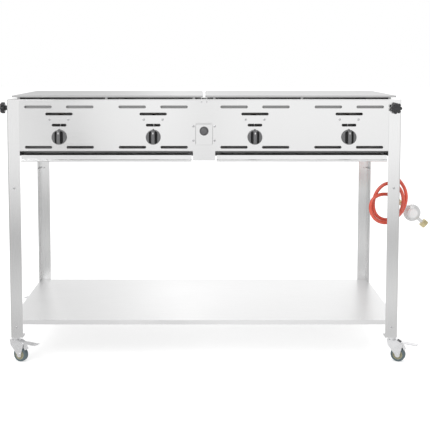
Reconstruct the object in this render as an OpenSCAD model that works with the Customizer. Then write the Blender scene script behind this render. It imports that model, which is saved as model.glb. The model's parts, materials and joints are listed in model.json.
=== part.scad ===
// Gas barbecue grill on castors: two cooking plates over four tube burners, carried by
// four angle legs with a shelf between them. Millimetres. +X points to the right, +Y to
// the back and +Z up. The origin is on the floor, midway between the legs.

/* [Overall] */
// Distance of the plates' outer ends inside the legs' outer faces
plate_inset = 15; // [13:1:24]
// Distance of the plates' front edges behind the legs' front
plate_setback = 15; // [15:1:18]
// Distance of the plates' back edges in front of the legs' back
flue_depth = 112; // [90:1:150]
// Thickness of the housing's sheet
sheet = 1.5; // [1:0.1:2]
// Outer radius of the sheet's folds
fold_r = 3; // [2.5:0.1:4]

/* [Legs] */
// Length of a leg
leg_length = 826; // [780:1:900]
// Width of each flange of a leg
leg_flange = 42; // [38:1:46]
// Thickness of a leg's sheet
leg_sheet = 2; // [1.5:0.1:2.5]
// Distance of the upper screw on each flange below the leg's top
hanger_drop = 303; // [296:1:330]
// Thickness of the plate that closes a leg's foot
foot_thick = 3; // [2:0.5:5]
// Distance of the star knobs below the tops of the legs
star_drop = 29; // [22:1:40]

/* [Shelf] */
// Height of the shelf's top
shelf_height = 146; // [140:1:300]
// Height of the shelf's turned-down edge
shelf_edge = 15; // [10:1:22]
// Clearance between the shelf and the legs
shelf_clear = 0.5; // [0.3:0.1:1]
// Side of the bracket under each corner of the shelf
bracket_side = 32; // [28:1:34]
// Height of the bracket under each corner of the shelf
bracket_height = 32; // [30:1:36]

/* [Housing] */
// Height of the front and back panels
panel_height = 178; // [172:1:200]
// Height of the panels' tops above the legs' tops
panel_rise = 1; // [0:0.5:3]
// Depth of the panels' folded edges
fold_depth = 10; // [8:0.5:10]
// Half width of the tongue in the middle of the front panel
tongue_half = 38; // [30:1:40]
// Length of the tongue below the front panel
tongue_drop = 31; // [20:1:33]
// Distance between the two fire boxes
zone_gap = 60; // [56:1:66]
// Distance of the fire boxes' outer walls inside the legs' outer faces
zone_margin = 34; // [32:1:38]
// Distance of a fire box's front wall behind the front panel's face
bay_depth = 63; // [58:1:70]
// Distance of the baffles behind the front panel
baffle_gap = 6; // [5:0.5:9]
// Width of the tabs that stop the plates in front
tab_width = 9; // [6:1:12]
// Height of the arms that carry the front edges of the plates
arm_height = 31; // [26:1:34]
// Width of the spine between the fire boxes
spine_width = 20; // [16:1:26]
// Height of the spine
spine_height = 20; // [14:1:24]

/* [Slots] */
// Length of the long slots
slot_length = 93; // [80:1:100]
// Height of the slots
slot_height = 9.5; // [7:0.5:11]
// Length of the slot over each knob
short_slot = 50; // [40:1:54]
// Distance of the paired slots from the burner's middle
slot_offset = 71; // [68:1:76]
// Distance of the upper slots below the panel's top
upper_slot_drop = 26; // [22:1:28]
// Distance of the middle slot below the panel's top
middle_slot_drop = 50; // [46:1:52]
// Distance of the short slot below the panel's top
short_slot_drop = 88; // [86:1:92]
// Distance of the lower slots above the panel's bottom
lower_slot_rise = 14.5; // [12:0.5:18]

/* [Plates] */
// Length of a cooking plate
plate_length = 650; // [600:1:720]
// Depth of a cooking plate
plate_depth = 480; // [430:1:540]
// Thickness of a cooking plate
plate_thick = 6; // [4:0.5:10]
// Gap between the two cooking plates
plate_split = 10; // [6:1:14]
// Height of the plates' undersides above the panels
plate_lift = 6; // [4:0.5:9]
// Corner radius of a cooking plate
plate_corner = 5; // [2:1:12]

/* [Drip trays] */
// Distance of a drip tray's rims inside the walls of its fire box
tray_side_gap = 12.5; // [11:0.5:16]
// Distance of a drip tray's back in front of the fire box's back
tray_back_gap = 8; // [6:1:40]
// Height of a drip tray
tray_height = 22; // [18:1:30]
// Gap between the front panel and a tray
tray_gap = 12.5; // [9:0.5:16]
// Width of the rims that the tray slides on
tray_rim = 10; // [8:1:12]
// Radius of the rolled lip on the tray's front
tray_lip_r = 4; // [3:0.5:5]
// Clearance of a tray in its runners
tray_clear = 0.5; // [0.3:0.1:1]

/* [Burners] */
// Distance between a fire box's two burners, beyond half its width
burner_spread = 17; // [8:1:22]
// Diameter of a burner tube
burner_d = 36; // [30:1:38]
// Wall of a burner tube
burner_wall = 1.2; // [1:0.1:1.6]
// Distance of a burner's axis below the panel's top
burner_drop = 69; // [67:1:70]
// Diameter of the flame ports
port_d = 2.5; // [2:0.1:3.5]
// Distance between the flame ports
port_pitch = 16; // [12:1:22]
// Angle of the port rows from the vertical
port_angle = 40; // [30:1:60]
// Distance of a bracket screw from the burner's middle
bracket_screw = 32; // [30:1:34]
// Diameter of a burner's tail pin
tail_pin_d = 8; // [6:0.5:10]

/* [Gas] */
// Diameter of the manifold pipe
pipe_d = 16; // [14:0.5:18]
// Wall of the manifold pipe
pipe_wall = 1.5; // [1:0.1:2]
// Distance of the manifold behind the front panel's face
pipe_back = 26.5; // [25:0.5:29]
// Distance of the manifold below the knobs' axis
pipe_drop = 30; // [28:1:31]
// Diameter of a valve's body
valve_d = 22; // [20:1:24]
// Length of a valve's body
valve_length = 34; // [30:1:38]
// Diameter of an injector
injector_d = 12; // [9:0.5:14]
// Width over the flats of the inlet fitting
inlet_flats = 19; // [17:0.5:21]

/* [Controls] */
// Diameter of a control knob
knob_d = 50; // [42:1:52]
// Height of a control knob from its back to its grip
knob_height = 22; // [18:1:28]
// Width of a knob's grip
grip_width = 13; // [10:1:16]
// Distance of the knobs below the panel's top
knob_drop = 129; // [127:1:131]
// Gap between a knob and the panel
knob_gap = 4; // [3.5:0.5:6]
// Diameter of a valve's spindle
spindle_d = 8; // [6:0.5:9]
// Diameter of the igniter's bezel
bezel_d = 31; // [30:0.5:34]
// Diameter of the igniter's button
button_d = 22; // [18:1:23]
// Distance of the igniter below the panel's top
igniter_drop = 108; // [104:1:110]
// Half width of the cover plate round the igniter
cover_half = 30; // [27:1:31]
// Height of the cover plate
cover_height = 76; // [66:1:80]
// Distance of the cover plate's top below the panel's top
cover_drop = 80; // [78:1:82]

/* [Star knobs] */
// Number of lobes
star_lobes = 7; // [5:1:9]
// Diameter over the lobes
star_d = 39; // [34:1:42]
// Height of the knob's head
star_head = 15; // [12:1:18]
// Length of its neck
star_neck = 10; // [8:1:12]
// Diameter of its threaded stud
stud_d = 8; // [6:1:8]
// Length of the thread inside the leg
stud_length = 16; // [14:1:20]

/* [Castors] */
// Diameter of a wheel
wheel_d = 50; // [46:1:54]
// Width of a wheel
wheel_width = 20; // [16:1:22]
// Distance of the wheel's axle behind the swivel
castor_trail = 21; // [18:1:24]
// Height from the axle to the top of the fork
fork_rise = 50.7; // [49:0.1:56]
// Distance of a castor's swivel from the leg's outer faces
castor_inset = 14; // [13:1:18]
// Thickness of the fork's sheet
fork_sheet = 2.2; // [1.8:0.1:3]
// Diameter of a wheel's axle
axle_d = 8; // [6:0.5:10]
// Diameter of a castor's threaded stem
stem_d = 10; // [8:0.5:12]
// Reach of a brake pedal behind the swivel
pedal_reach = 90; // [80:1:100]
// Turn of the front castors at rest, from +X towards the front
castor_turn = 25; // [0:1:45]

/* [Hose] */
// Diameter of the gas hose
hose_d = 12; // [10:0.5:12]
// Radius of the coil's middle line
coil_r = 63; // [56:1:66]
// Diameter of the coil's bundle
bundle_d = 24; // [22:1:25]
// Diameter of the regulator's housing
regulator_d = 60; // [54:1:64]
// Thickness of the regulator's housing
regulator_thick = 34; // [26:1:36]
// Width over the flats of the bottle nut
bottle_nut_flats = 27; // [24:1:29]
// Length of the bottle nut
bottle_nut_length = 17; // [14:1:20]

/* [Hidden] */
$fn = 64;
eps = 0.01;
// Radial clearance of shafts, pins and screws in their bores
running_fit = 0.05;
// Gap between pieces that move past each other
face_gap = 0.3;
screw_d = 4;
screw_hole_d = screw_d + 2 * running_fit;
screw_head_d = 8;
screw_head = 2.4;
screw_length = 10;
weld_nut_height = 8;

PLACES = ["front_left", "front_right", "back_right", "back_left"];

// Castors, from the floor up
CORNER_SIGN = [[-1, -1], [1, -1], [1, 1], [-1, 1]];
CASTOR_ANGLE = [-castor_turn, -castor_turn, 180 - castor_turn, 180 - castor_turn];
race_height = 8;
race_d = 26;
crown_d = 34;
crown_thick = 3;
axle_z = wheel_d / 2;
fork_top = axle_z + fork_rise;
castor_height = fork_top + face_gap + race_height;
fork_inside = wheel_width / 2 + 3 * face_gap;
fork_outside = fork_inside + fork_sheet;
axle_boss_r = axle_d / 2 + 5;
crown_lead = 17;
crown_tail = 18;
pedal_behind_axle = 11;
pedal_below_crown = 13;
pedal_x = castor_trail + pedal_behind_axle;
pedal_z = fork_top - pedal_below_crown;
pedal_pin_d = 5;
tyre_thick = 8;
tread_r = 3;

// Overall places
body_length = 2 * (plate_inset + plate_length) + plate_split;
body_depth = plate_setback + plate_depth + flue_depth;
half_x = body_length / 2;
half_y = body_depth / 2;
leg_top = castor_height + leg_length;
leg_mid = leg_flange / 2;
leg_fold_r = 2 * leg_sheet;
panel_top = leg_top + panel_rise;
panel_bottom = panel_top - panel_height;
panel_face = half_y - leg_sheet;
panel_back = panel_face - sheet;
end_face = half_x - leg_sheet;
panel_half = end_face - fold_r;
seat_z = panel_top + plate_lift;
star_z = leg_top - star_drop;
hanger_z = leg_top - hanger_drop;
zone_width = half_x - zone_gap / 2 - zone_margin;
zone_centre = (zone_gap + zone_width) / 2;
bracket_screw_drop = 25;
bracket_screw_z = shelf_height - bracket_screw_drop;

// Burners, knobs and valves, from left to right
burner_pitch = zone_width / 2 + burner_spread;
BURNER_X = [for (zone = [-1, 1], side = [-1, 1]) zone * zone_centre + side * burner_pitch / 2];
burner_z = panel_top - burner_drop;
knob_z = panel_top - knob_drop;
mouth_length = 18;
tail_gap = 20;
bracket_half = 8;
electrode_x = 17;
electrode_rise = 22;
ceramic_d = 6;
ceramic_half = 14;
spark_reach = 34;
pipe_y = -(panel_face - pipe_back);
pipe_z = knob_z - pipe_drop;
pipe_overhang = 30;
pipe_bend_r = 24;
saddle_half = 9;
riser_d = 8;
riser_inset = 5;
valve_gap = 3;
valve_front = -(panel_back - valve_gap);
spindle_clear = 2;
spindle_push = 3;
pointer_half = 1.5;
pointer_reach = 2.5;
spindle_in_knob = 14;
spindle_in_valve = 14;
spindle_front = -(panel_face + knob_gap + spindle_in_knob);
spindle_back = valve_front + spindle_in_valve;
spindle_stop = spindle_back + spindle_push + face_gap;

// Fire boxes, plates and trays
box_front = -(panel_face - bay_depth);
plate_front = -(half_y - plate_setback);
plate_back = plate_front + plate_depth;
box_back = plate_back - 3;
arm_bottom = panel_top - arm_height;
baffle_below_arms = 5;
baffle_below_top = 6;
seat_front = plate_front + 1.5;
tab_below_seat = 15;
tab_above_seat = 1;
tab_clear = 0.5;
strip_front = plate_back + 5;
strip_lip = 9;
partition_below_arms = 120;
partition_bottom = arm_bottom - partition_below_arms;
tray_top = panel_bottom - tray_gap;
tray_length = zone_width - 2 * tray_side_gap;
tray_depth = box_back + panel_face - tray_back_gap;
tray_body = tray_length - 2 * tray_rim;
tray_inner_r = 6;
ledge_z = tray_top - sheet;
rail_top = panel_bottom + 2;
strap_half = 42;
strap_neck = 15;
strap_height = 76;
strap_drop = 78.5;
strap_z = panel_top - strap_drop - strap_height / 2;

// Igniter
igniter_z = panel_top - igniter_drop;
cover_z = panel_top - cover_drop - cover_height / 2;
cover_corner = 2;
barrel_d = button_d + 4;
barrel_length = 40;
bezel_height = 3;
button_proud = 5;
button_travel = 6;
centre_screw_x = 36;
CENTRE_SCREW_DROPS = [92, 141];

// Hose: the feed comes down behind the front right leg, and the tail leaves the coil
inlet_x = half_x - leg_mid;
inlet_drop = 62;
inlet_end = pipe_z - inlet_drop;
fitting_height = 22;
inlet_hex = 14;
fitting_top = inlet_end + fitting_height;
inlet_at = [inlet_x, pipe_y, inlet_end];
coil_rise = 4;
coil_at = [inlet_x - 7, pipe_y + 27, hanger_z + coil_rise - coil_r];
HOSE_FEED = [
    for (step = [[0, 0, 0], [0, 1, -18], [4, 11, -36], [14, 23, -54]]) inlet_at + step,
    for (step = [[36, 0, 68], [50, 0, 42], [60, 0, 18]]) coil_at + step
];
HOSE_TAIL = [
    for (step = [
        [-58, 0, 22], [-50, 5, 36], [-32, 14, 40], [-10, 24, 36], [10, 30, 27], [26, 32, 17]
    ]) coil_at + step
];
clip_half = 7;
clip_thick = 1.2;
clip_clear = 0.4;
regulator_at = coil_at + [90, 32, -40];
regulator_tilt = 42;
stem_neck_d = 11;
bottle_thread_d = 21;
nut_start = 48;
nut_floor = 3;
collar_d = 16;
collar_thick = 3;
hose_neck = 8;
hose_neck_d = 14;
hose_hex = 18;
hose_hex_flats = 17;
hose_nut_reach = 66;
hose_nut_end = regulator_at
    + hose_nut_reach * [-cos(regulator_tilt), 0, sin(regulator_tilt)];

// ---------------------------------------------------------------- shared shapes

// Round-ended slot, its middle at the origin
module slot_outline(length, height) {
    square([length - height, height], center = true);
    for (side = [-1, 1]) translate([side * (length - height) / 2, 0]) circle(d = height);
}

// Extrudes an outline drawn in the YZ plane along X, from x0 to x1
module along_x(x0, x1) {
    translate([x0, 0, 0]) rotate([90, 0, 90]) linear_extrude(x1 - x0) children();
}

// Extrudes an outline drawn in the XZ plane along Y, from y0 to y1
module along_y(y0, y1) {
    translate([0, y1, 0]) rotate([90, 0, 0]) linear_extrude(y1 - y0) children();
}

module bar_x(d, x0, x1) {
    along_x(x0, x1) circle(d = d);
}

module bar_y(d, y0, y1) {
    along_y(y0, y1) circle(d = d);
}

// Folded angle with its outer corner at the origin and an outer radius r
module angle_outline(a, b, t, r) {
    translate([r, 0]) square([a - r, t]);
    translate([0, r]) square([t, b - r]);
    translate([r, r]) intersection() {
        difference() {
            circle(r);
            circle(r - t);
        }
        translate([-r, -r]) square(r);
    }
}

// Rectangle from the origin with round corners
module round_rect(a, b, r) {
    translate([r, 0]) square([a - 2 * r, b]);
    translate([0, r]) square([a, b - 2 * r]);
    for (x = [r, a - r], y = [r, b - r]) translate([x, y]) circle(r);
}

module hexagon(flats) {
    circle(d = flats / cos(30), $fn = 6);
}

// Domed head above z = 0 and shank below it
module pan_screw() {
    ball_d = 1.6 * screw_head_d;
    intersection() {
        cylinder(d = screw_head_d, h = screw_head);
        translate([0, 0, screw_head - ball_d / 2]) sphere(d = ball_d);
    }
    translate([0, 0, -screw_length]) cylinder(d = screw_d, h = screw_length + eps);
}

// Nut that stands on a panel along +Z and takes a star knob's stud
module weld_nut() {
    difference() {
        cylinder(d = stud_d + 6, h = weld_nut_height);
        translate([0, 0, -1]) cylinder(d = stud_d + 2 * running_fit, h = weld_nut_height + 2);
    }
}

// Places a child at a leg's outer corner, its flanges along the child's +X and +Y
module at_corner(n) {
    translate([CORNER_SIGN[n][0] * half_x, CORNER_SIGN[n][1] * half_y, 0])
        rotate(90 * n) children();
}

// Places a child on a leg's swivel axis, its +X along the castor's trail
module at_castor(n) {
    translate([
        CORNER_SIGN[n][0] * (half_x - castor_inset),
        CORNER_SIGN[n][1] * (half_y - castor_inset), 0
    ]) rotate(CASTOR_ANGLE[n]) children();
}

// ---------------------------------------------------------------- housing

// Everything that is cut through the front panel round one burner
module burner_cuts() {
    for (side = [-1, 1]) {
        translate([side * slot_offset, panel_top - upper_slot_drop])
            slot_outline(slot_length, slot_height);
        translate([side * slot_offset, panel_bottom + lower_slot_rise])
            slot_outline(slot_length, slot_height);
        translate([side * bracket_screw, burner_z]) circle(d = screw_hole_d);
    }
    translate([0, panel_top - middle_slot_drop]) slot_outline(slot_length, slot_height);
    translate([0, panel_top - short_slot_drop]) slot_outline(short_slot, slot_height);
    translate([0, knob_z]) circle(d = spindle_d + 2 * spindle_clear);
}

// Front panel: folded back at its top and bottom, with a tongue in the middle
module front_panel() {
    color("lightgray") {
        difference() {
            union() {
                along_x(-panel_half, panel_half) translate([-panel_face, panel_bottom]) {
                    angle_outline(fold_depth, panel_height / 2, sheet, fold_r);
                    translate([0, panel_height]) mirror([0, 1])
                        angle_outline(fold_depth, panel_height / 2 + eps, sheet, fold_r);
                }
                translate([-tongue_half, -panel_face, panel_bottom - tongue_drop])
                    cube([2 * tongue_half, sheet, tongue_drop + 2 * fold_r]);
            }
            along_y(-half_y, -panel_back + eps) {
                for (x = BURNER_X) translate([x, 0]) burner_cuts();
                translate([0, igniter_z]) circle(d = barrel_d + 2 * running_fit);
                for (side = [-1, 1], drop = CENTRE_SCREW_DROPS)
                    translate([side * centre_screw_x, panel_top - drop])
                        circle(d = screw_hole_d);
                translate([half_x - leg_mid, star_z]) circle(d = stud_d + 2 * running_fit);
            }
        }
        translate([half_x - leg_mid, -panel_back, star_z]) rotate([-90, 0, 0]) weld_nut();
    }
}

// Back panel: its top is folded forward as a slotted flue strip behind the plates
module back_panel() {
    strip = panel_face - strip_front;
    color("silver") {
        difference() {
            along_x(-panel_half, panel_half) translate([panel_face, panel_bottom])
                mirror([1, 0]) {
                    angle_outline(fold_depth, panel_height / 2, sheet, fold_r);
                    translate([0, panel_height]) mirror([0, 1])
                        angle_outline(strip / 2, panel_height / 2 + eps, sheet, fold_r);
                    translate([strip, panel_height]) rotate(180)
                        angle_outline(strip / 2 + eps, strip_lip, sheet, fold_r);
                }
            for (x = BURNER_X, side = [-1, 1])
                translate([x + side * slot_offset, strip_front + strip / 2, panel_top - 2 * sheet])
                    linear_extrude(3 * sheet) slot_outline(slot_length, slot_height);
            translate([-(half_x - leg_mid), 0, star_z])
                bar_y(stud_d + 2 * running_fit, panel_back - eps, half_y);
        }
        translate([-(half_x - leg_mid), panel_back, star_z]) rotate([90, 0, 0]) weld_nut();
    }
}

// End panel: a channel between the front and back panels, with a shelf folded in on top
module end_panel(side) {
    nut_y = side * (half_y - leg_mid);
    shelf = end_face - zone_centre - zone_width / 2;
    color("lightgray") mirror([side > 0 ? 1 : 0, 0, 0])
        translate([-end_face, 0, 0]) {
            difference() {
                union() {
                    translate([0, 0, panel_bottom + sheet])
                        linear_extrude(panel_height - sheet - fold_r)
                            for (end = [0, 1]) mirror([0, end]) translate([0, -panel_back])
                                angle_outline(fold_depth, panel_back + eps, sheet, fold_r);
                    along_y(fold_depth - panel_face, strip_front)
                        translate([0, panel_top]) mirror([0, 1])
                            angle_outline(shelf, 2 * fold_r, sheet, fold_r);
                }
                translate([0, nut_y, star_z])
                    bar_x(stud_d + 2 * running_fit, -sheet, 2 * sheet);
            }
            translate([sheet, nut_y, star_z]) rotate([0, 90, 0]) weld_nut();
        }
}

// Side wall of a fire box in the YZ plane: arms in front carry the plate and the tray
module wall_outline() {
    polygon([
        [-panel_back, arm_bottom], [-panel_back, panel_top - fold_r],
        [seat_front, panel_top - fold_r], [seat_front, seat_z], [box_back, seat_z],
        [box_back, ledge_z + fold_r], [fold_depth - panel_face, ledge_z + fold_r],
        [fold_depth - panel_face, rail_top], [box_front, rail_top], [box_front, arm_bottom]
    ]);
}

// Tab that stands up in front of a plate, its middle at x = 0
module plate_stop() {
    translate([-tab_width / 2, plate_front - tab_clear - sheet, seat_z - tab_below_seat])
        cube([tab_width, sheet, tab_below_seat + tab_above_seat]);
}

// Fire box: two side walls with runners folded in below, a wall at each end, and a baffle
// behind the upper slots, in two halves with the partition between them
module fire_box(side) {
    half = zone_width / 2;
    baffle_side = sheet / 2 + face_gap;
    baffle_bottom = arm_bottom - baffle_below_arms;
    color("darkgray") translate([side * zone_centre, 0, 0]) {
        for (end = [0, 1]) mirror([end, 0, 0]) {
            along_x(half - sheet, half) wall_outline();
            translate([half - tab_width / 2, 0, 0]) plate_stop();
            along_y(baffle_gap - panel_back, baffle_gap - panel_back + sheet)
                translate([baffle_side, baffle_bottom])
                    square([half - sheet / 2 - baffle_side,
                        panel_top - baffle_below_top - baffle_bottom]);
            along_y(fold_depth - panel_face, box_back) translate([half, ledge_z - sheet])
                mirror([1, 0])
                    angle_outline(half - tray_body / 2 - tray_clear, 2 * fold_r, sheet, fold_r);
        }
        difference() {
            union() {
                along_y(box_front, box_front + sheet)
                    translate([-half + sheet, tray_top + tray_clear])
                        square([2 * (half - sheet), arm_bottom - tray_top - tray_clear]);
                along_y(box_back - sheet, box_back)
                    translate([-half + sheet, tray_top + tray_clear])
                        square([2 * (half - sheet), arm_bottom - tray_top - tray_clear]);
            }
            for (end = [-1, 1]) translate([end * burner_pitch / 2, 0, burner_z]) {
                bar_y(burner_d + 2 * face_gap, box_front - sheet, box_front + 2 * sheet);
                bar_y(tail_pin_d + 2 * face_gap, box_back - 2 * sheet, box_back + sheet);
                translate([electrode_x, 0, electrode_rise])
                    bar_y(ceramic_d + 2 * running_fit, box_front - sheet, box_front + 2 * sheet);
            }
        }
    }
}

// Partition between the two burners of a fire box
module partition(side) {
    color("darkgray") translate([side * zone_centre, 0, 0]) {
        along_x(-sheet / 2, sheet / 2) polygon([
            [-panel_back, arm_bottom], [-panel_back, panel_top - fold_r],
            [seat_front, panel_top - fold_r], [seat_front, seat_z], [box_back, seat_z],
            [box_back, arm_bottom], [box_back - sheet, arm_bottom],
            [box_back - sheet, partition_bottom], [box_front + sheet, partition_bottom],
            [box_front + sheet, arm_bottom]
        ]);
        plate_stop();
    }
}

// Spine between the fire boxes: a channel under the inner edges of both plates, hung on
// a plate behind the front panel
module centre_spine() {
    color("silver") {
        for (side = [0, 1]) mirror([side, 0, 0])
            along_x(spine_width / 2 - sheet, spine_width / 2) polygon([
                [-panel_back + sheet / 2, seat_z - spine_height],
                [-panel_back + sheet / 2, panel_top - fold_r], [seat_front, panel_top - fold_r],
                [seat_front, seat_z - sheet / 2], [strip_front, seat_z - sheet / 2],
                [strip_front, seat_z - spine_height]
            ]);
        translate([-spine_width / 2, seat_front, seat_z - sheet])
            cube([spine_width, strip_front - seat_front, sheet]);
        along_y(-panel_back, -panel_back + sheet) difference() {
            union() {
                translate([-strap_half, strap_z - strap_height / 2])
                    square([2 * strap_half, strap_height]);
                translate([-strap_neck, strap_z])
                    square([2 * strap_neck, panel_top - fold_r - strap_z]);
            }
            translate([0, igniter_z]) circle(d = barrel_d + 2 * running_fit);
            for (side = [-1, 1], drop = CENTRE_SCREW_DROPS)
                translate([side * centre_screw_x, panel_top - drop]) circle(d = screw_hole_d);
        }
    }
}

module centre_cover() {
    color("whitesmoke") along_y(-panel_face - sheet, -panel_face) difference() {
        translate([-cover_half, cover_z - cover_height / 2])
            round_rect(2 * cover_half, cover_height, cover_corner);
        translate([0, igniter_z]) circle(d = barrel_d + 2 * running_fit);
    }
}

// ---------------------------------------------------------------- legs and shelf

// Leg: a folded angle with a foot plate and a bracket for the shelf welded inside
module leg(n) {
    inside = leg_sheet + shelf_clear;
    seat = shelf_height - sheet - leg_sheet;
    color("gainsboro") at_corner(n) difference() {
        union() {
            translate([0, 0, castor_height]) linear_extrude(leg_length)
                angle_outline(leg_flange, leg_flange, leg_sheet, leg_fold_r);
            translate([leg_sheet - eps, leg_sheet - eps, castor_height])
                linear_extrude(foot_thick) difference() {
                    square(leg_flange - leg_sheet);
                    translate([eps, eps]) circle(leg_fold_r - leg_sheet);
                }
            translate([leg_sheet - eps, leg_sheet - eps, seat]) linear_extrude(leg_sheet)
                square(bracket_side);
            for (turn = [0, 1]) mirror([turn, -turn, 0])
                translate([leg_fold_r, leg_sheet - eps, seat - bracket_height])
                    cube([bracket_side - leg_fold_r, leg_sheet, bracket_height + eps]);
        }
        for (turn = [0, 1]) mirror([turn, -turn, 0]) for (z = [hanger_z, bracket_screw_z])
            translate([leg_mid, 0, z]) bar_y(screw_hole_d, -leg_sheet, 3 * leg_sheet);
        translate([0, leg_mid, star_z]) bar_x(stud_d + 2 * running_fit, -sheet, 2 * leg_sheet);
        translate([castor_inset, castor_inset, castor_height - 1])
            cylinder(d = stem_d + 2 * running_fit, h = foot_thick + 2);
    }
}

module shelf_outline(inset) {
    side = leg_flange + shelf_clear;
    inner = leg_sheet + shelf_clear;
    difference() {
        square([body_length - 2 * inset, body_depth - 2 * inset], center = true);
        for (n = [0:3]) at_corner(n) difference() {
            translate([-1, -1]) square(side + 1);
            translate([inner, inner]) square(side);
        }
    }
}

// Shelf: a sheet with its edges turned down between the legs
module bottom_shelf() {
    side = leg_flange + shelf_clear;
    color("whitesmoke") translate([0, 0, shelf_height]) {
        translate([0, 0, -sheet]) linear_extrude(sheet) shelf_outline(0);
        for (turn = [0, 1]) rotate(180 * turn) {
            along_x(side - half_x, half_x - side) translate([-half_y, 0]) mirror([0, 1])
                square([sheet, shelf_edge]);
            along_y(side - half_y, half_y - side) translate([-half_x, 0]) mirror([0, 1])
                square([sheet, shelf_edge]);
        }
    }
}

// Every screw of the grill: they are all alike
module pan_screws() {
    color("gray") {
        translate([0, -panel_face, 0]) {
            for (x = BURNER_X, side = [-1, 1])
                translate([x + side * bracket_screw, 0, burner_z])
                    rotate([90, 0, 0]) pan_screw();
            for (side = [-1, 1], drop = CENTRE_SCREW_DROPS)
                translate([side * centre_screw_x, 0, panel_top - drop])
                    rotate([90, 0, 0]) pan_screw();
        }
        for (n = [0:3]) at_corner(n) for (turn = [0, 1]) mirror([turn, -turn, 0])
            for (z = [hanger_z, bracket_screw_z])
                translate([leg_mid, 0, z]) rotate([90, 0, 0]) pan_screw();
    }
}

// ---------------------------------------------------------------- gas and fire

// Manifold: a pipe behind the knobs that turns down to the inlet at its right end
module gas_manifold() {
    color("silver") difference() {
        manifold_path(pipe_d, 0);
        manifold_path(pipe_d - 2 * pipe_wall, pipe_wall);
    }
}

// The manifold's path as a rod of diameter d, shortened by an end at its closed left end
module manifold_path(d, end) {
    left = BURNER_X[0] - pipe_overhang + end;
    translate([0, pipe_y, pipe_z]) {
        bar_x(d, left, inlet_x - pipe_bend_r);
        translate([inlet_x - pipe_bend_r, 0, -pipe_bend_r]) rotate([90, 0, 0])
            rotate_extrude(angle = 90) translate([pipe_bend_r, 0]) circle(d = d);
        translate([inlet_x, 0, fitting_top - pipe_z - (end > 0 ? 1 : 0)])
            cylinder(d = d, h = pipe_z - pipe_bend_r - fitting_top + (end > 0 ? 1 : 0) + eps);
    }
}

// Valve: a brass body on a saddle, with a riser to the injector in the burner's mouth
module gas_valve(x) {
    riser_y = valve_front + valve_length - riser_inset;
    translate([x, 0, 0]) difference() {
        union() {
            translate([0, 0, knob_z]) bar_y(valve_d, valve_front, valve_front + valve_length);
            translate([0, pipe_y, pipe_z]) cylinder(d = valve_d - 8, h = pipe_drop);
            translate([0, pipe_y, pipe_z]) bar_x(pipe_d + 6, -saddle_half, saddle_half);
            translate([0, riser_y, knob_z]) cylinder(d = riser_d, h = knob_drop - burner_drop);
            translate([0, 0, burner_z]) bar_y(injector_d, riser_y - 7, box_front - mouth_length + 6);
        }
        translate([0, 0, knob_z]) bar_y(spindle_d + 2 * running_fit, valve_front - 1, spindle_stop);
        translate([0, pipe_y, pipe_z])
            bar_x(pipe_d + 2 * running_fit, -saddle_half - 1, saddle_half + 1);
    }
}

module gas_valves() {
    color("goldenrod") for (x = BURNER_X) gas_valve(x);
}

module inlet_fitting() {
    color("goldenrod") translate([inlet_x, pipe_y, 0]) {
        translate([0, 0, inlet_end])
            cylinder(d = hose_d + 3, h = fitting_height - inlet_hex + eps);
        translate([0, 0, fitting_top - inlet_hex]) linear_extrude(inlet_hex) hexagon(inlet_flats);
    }
}

// Burner: a tube with two rows of ports, its bracket at the mouth and a pin at its tail
module burner(n) {
    mouth = box_front - mouth_length;
    tail = box_back - tail_gap;
    rows = floor((tail - box_front - 60) / port_pitch);
    bracket = bracket_screw + 7;
    color("dimgray") translate([BURNER_X[n], 0, burner_z]) {
        difference() {
            union() {
                bar_y(burner_d, mouth, tail);
                bar_y(burner_d + 4, mouth, mouth + sheet);
                translate([-bracket, mouth, -bracket_half])
                    cube([2 * bracket, sheet, 2 * bracket_half]);
            }
            bar_y(burner_d - 2 * burner_wall, mouth - 1, tail - burner_wall);
            for (row = [-1, 1], k = [0:rows]) translate([0, box_front + 30 + k * port_pitch, 0])
                rotate([0, row * port_angle, 0]) cylinder(d = port_d, h = burner_d);
        }
        for (side = [0, 1]) mirror([side, 0, 0]) {
            translate([bracket - sheet, -panel_back, -bracket_half])
                cube([sheet, mouth + panel_back + sheet, 2 * bracket_half]);
            difference() {
                translate([bracket - 13, -panel_back, -bracket_half])
                    cube([13, sheet, 2 * bracket_half]);
                translate([bracket_screw, 0, 0])
                    bar_y(screw_hole_d, -panel_back - 1, -panel_back + 2 * sheet);
            }
        }
        bar_y(tail_pin_d, tail - eps, box_back + 3);
    }
}

// Igniter electrodes: a ceramic sleeve with a wire that ends over the ports
module igniter_electrodes() {
    for (x = BURNER_X) translate([x + electrode_x, 0, burner_z + electrode_rise]) {
        color("white") bar_y(ceramic_d, box_front - ceramic_half, box_front + ceramic_half);
        color("gray") bar_y(2, box_front + ceramic_half - eps, box_front + spark_reach);
    }
}

// ---------------------------------------------------------------- controls

module igniter_body() {
    face = -panel_face - sheet;
    color("dimgray") translate([0, 0, igniter_z]) difference() {
        union() {
            bar_y(bezel_d, face - bezel_height, face);
            bar_y(barrel_d, face - eps, face + barrel_length);
            bar_y(barrel_d + 8, -panel_back + sheet, -panel_back + sheet + 4);
        }
        bar_y(button_d + 2 * running_fit, face - bezel_height - 1, face + barrel_length - 5);
    }
}

module igniter_button() {
    face = -panel_face - sheet - bezel_height;
    back = face + barrel_length - 5 + bezel_height - button_travel - 2;
    color("black") translate([0, 0, igniter_z]) intersection() {
        bar_y(button_d, face - button_proud, back);
        translate([0, face - button_proud + button_d, 0]) sphere(d = 2 * button_d + 0.01);
    }
}

// Spindle: a rod with a flat on its front end, where the knob sits
module valve_spindle(n) {
    color("gold") translate([BURNER_X[n], 0, knob_z]) difference() {
        bar_y(spindle_d, spindle_front, spindle_back);
        translate([spindle_d / 2 - 1, spindle_front - 1, -spindle_d])
            cube([spindle_d, 11, 2 * spindle_d]);
    }
}

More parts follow.
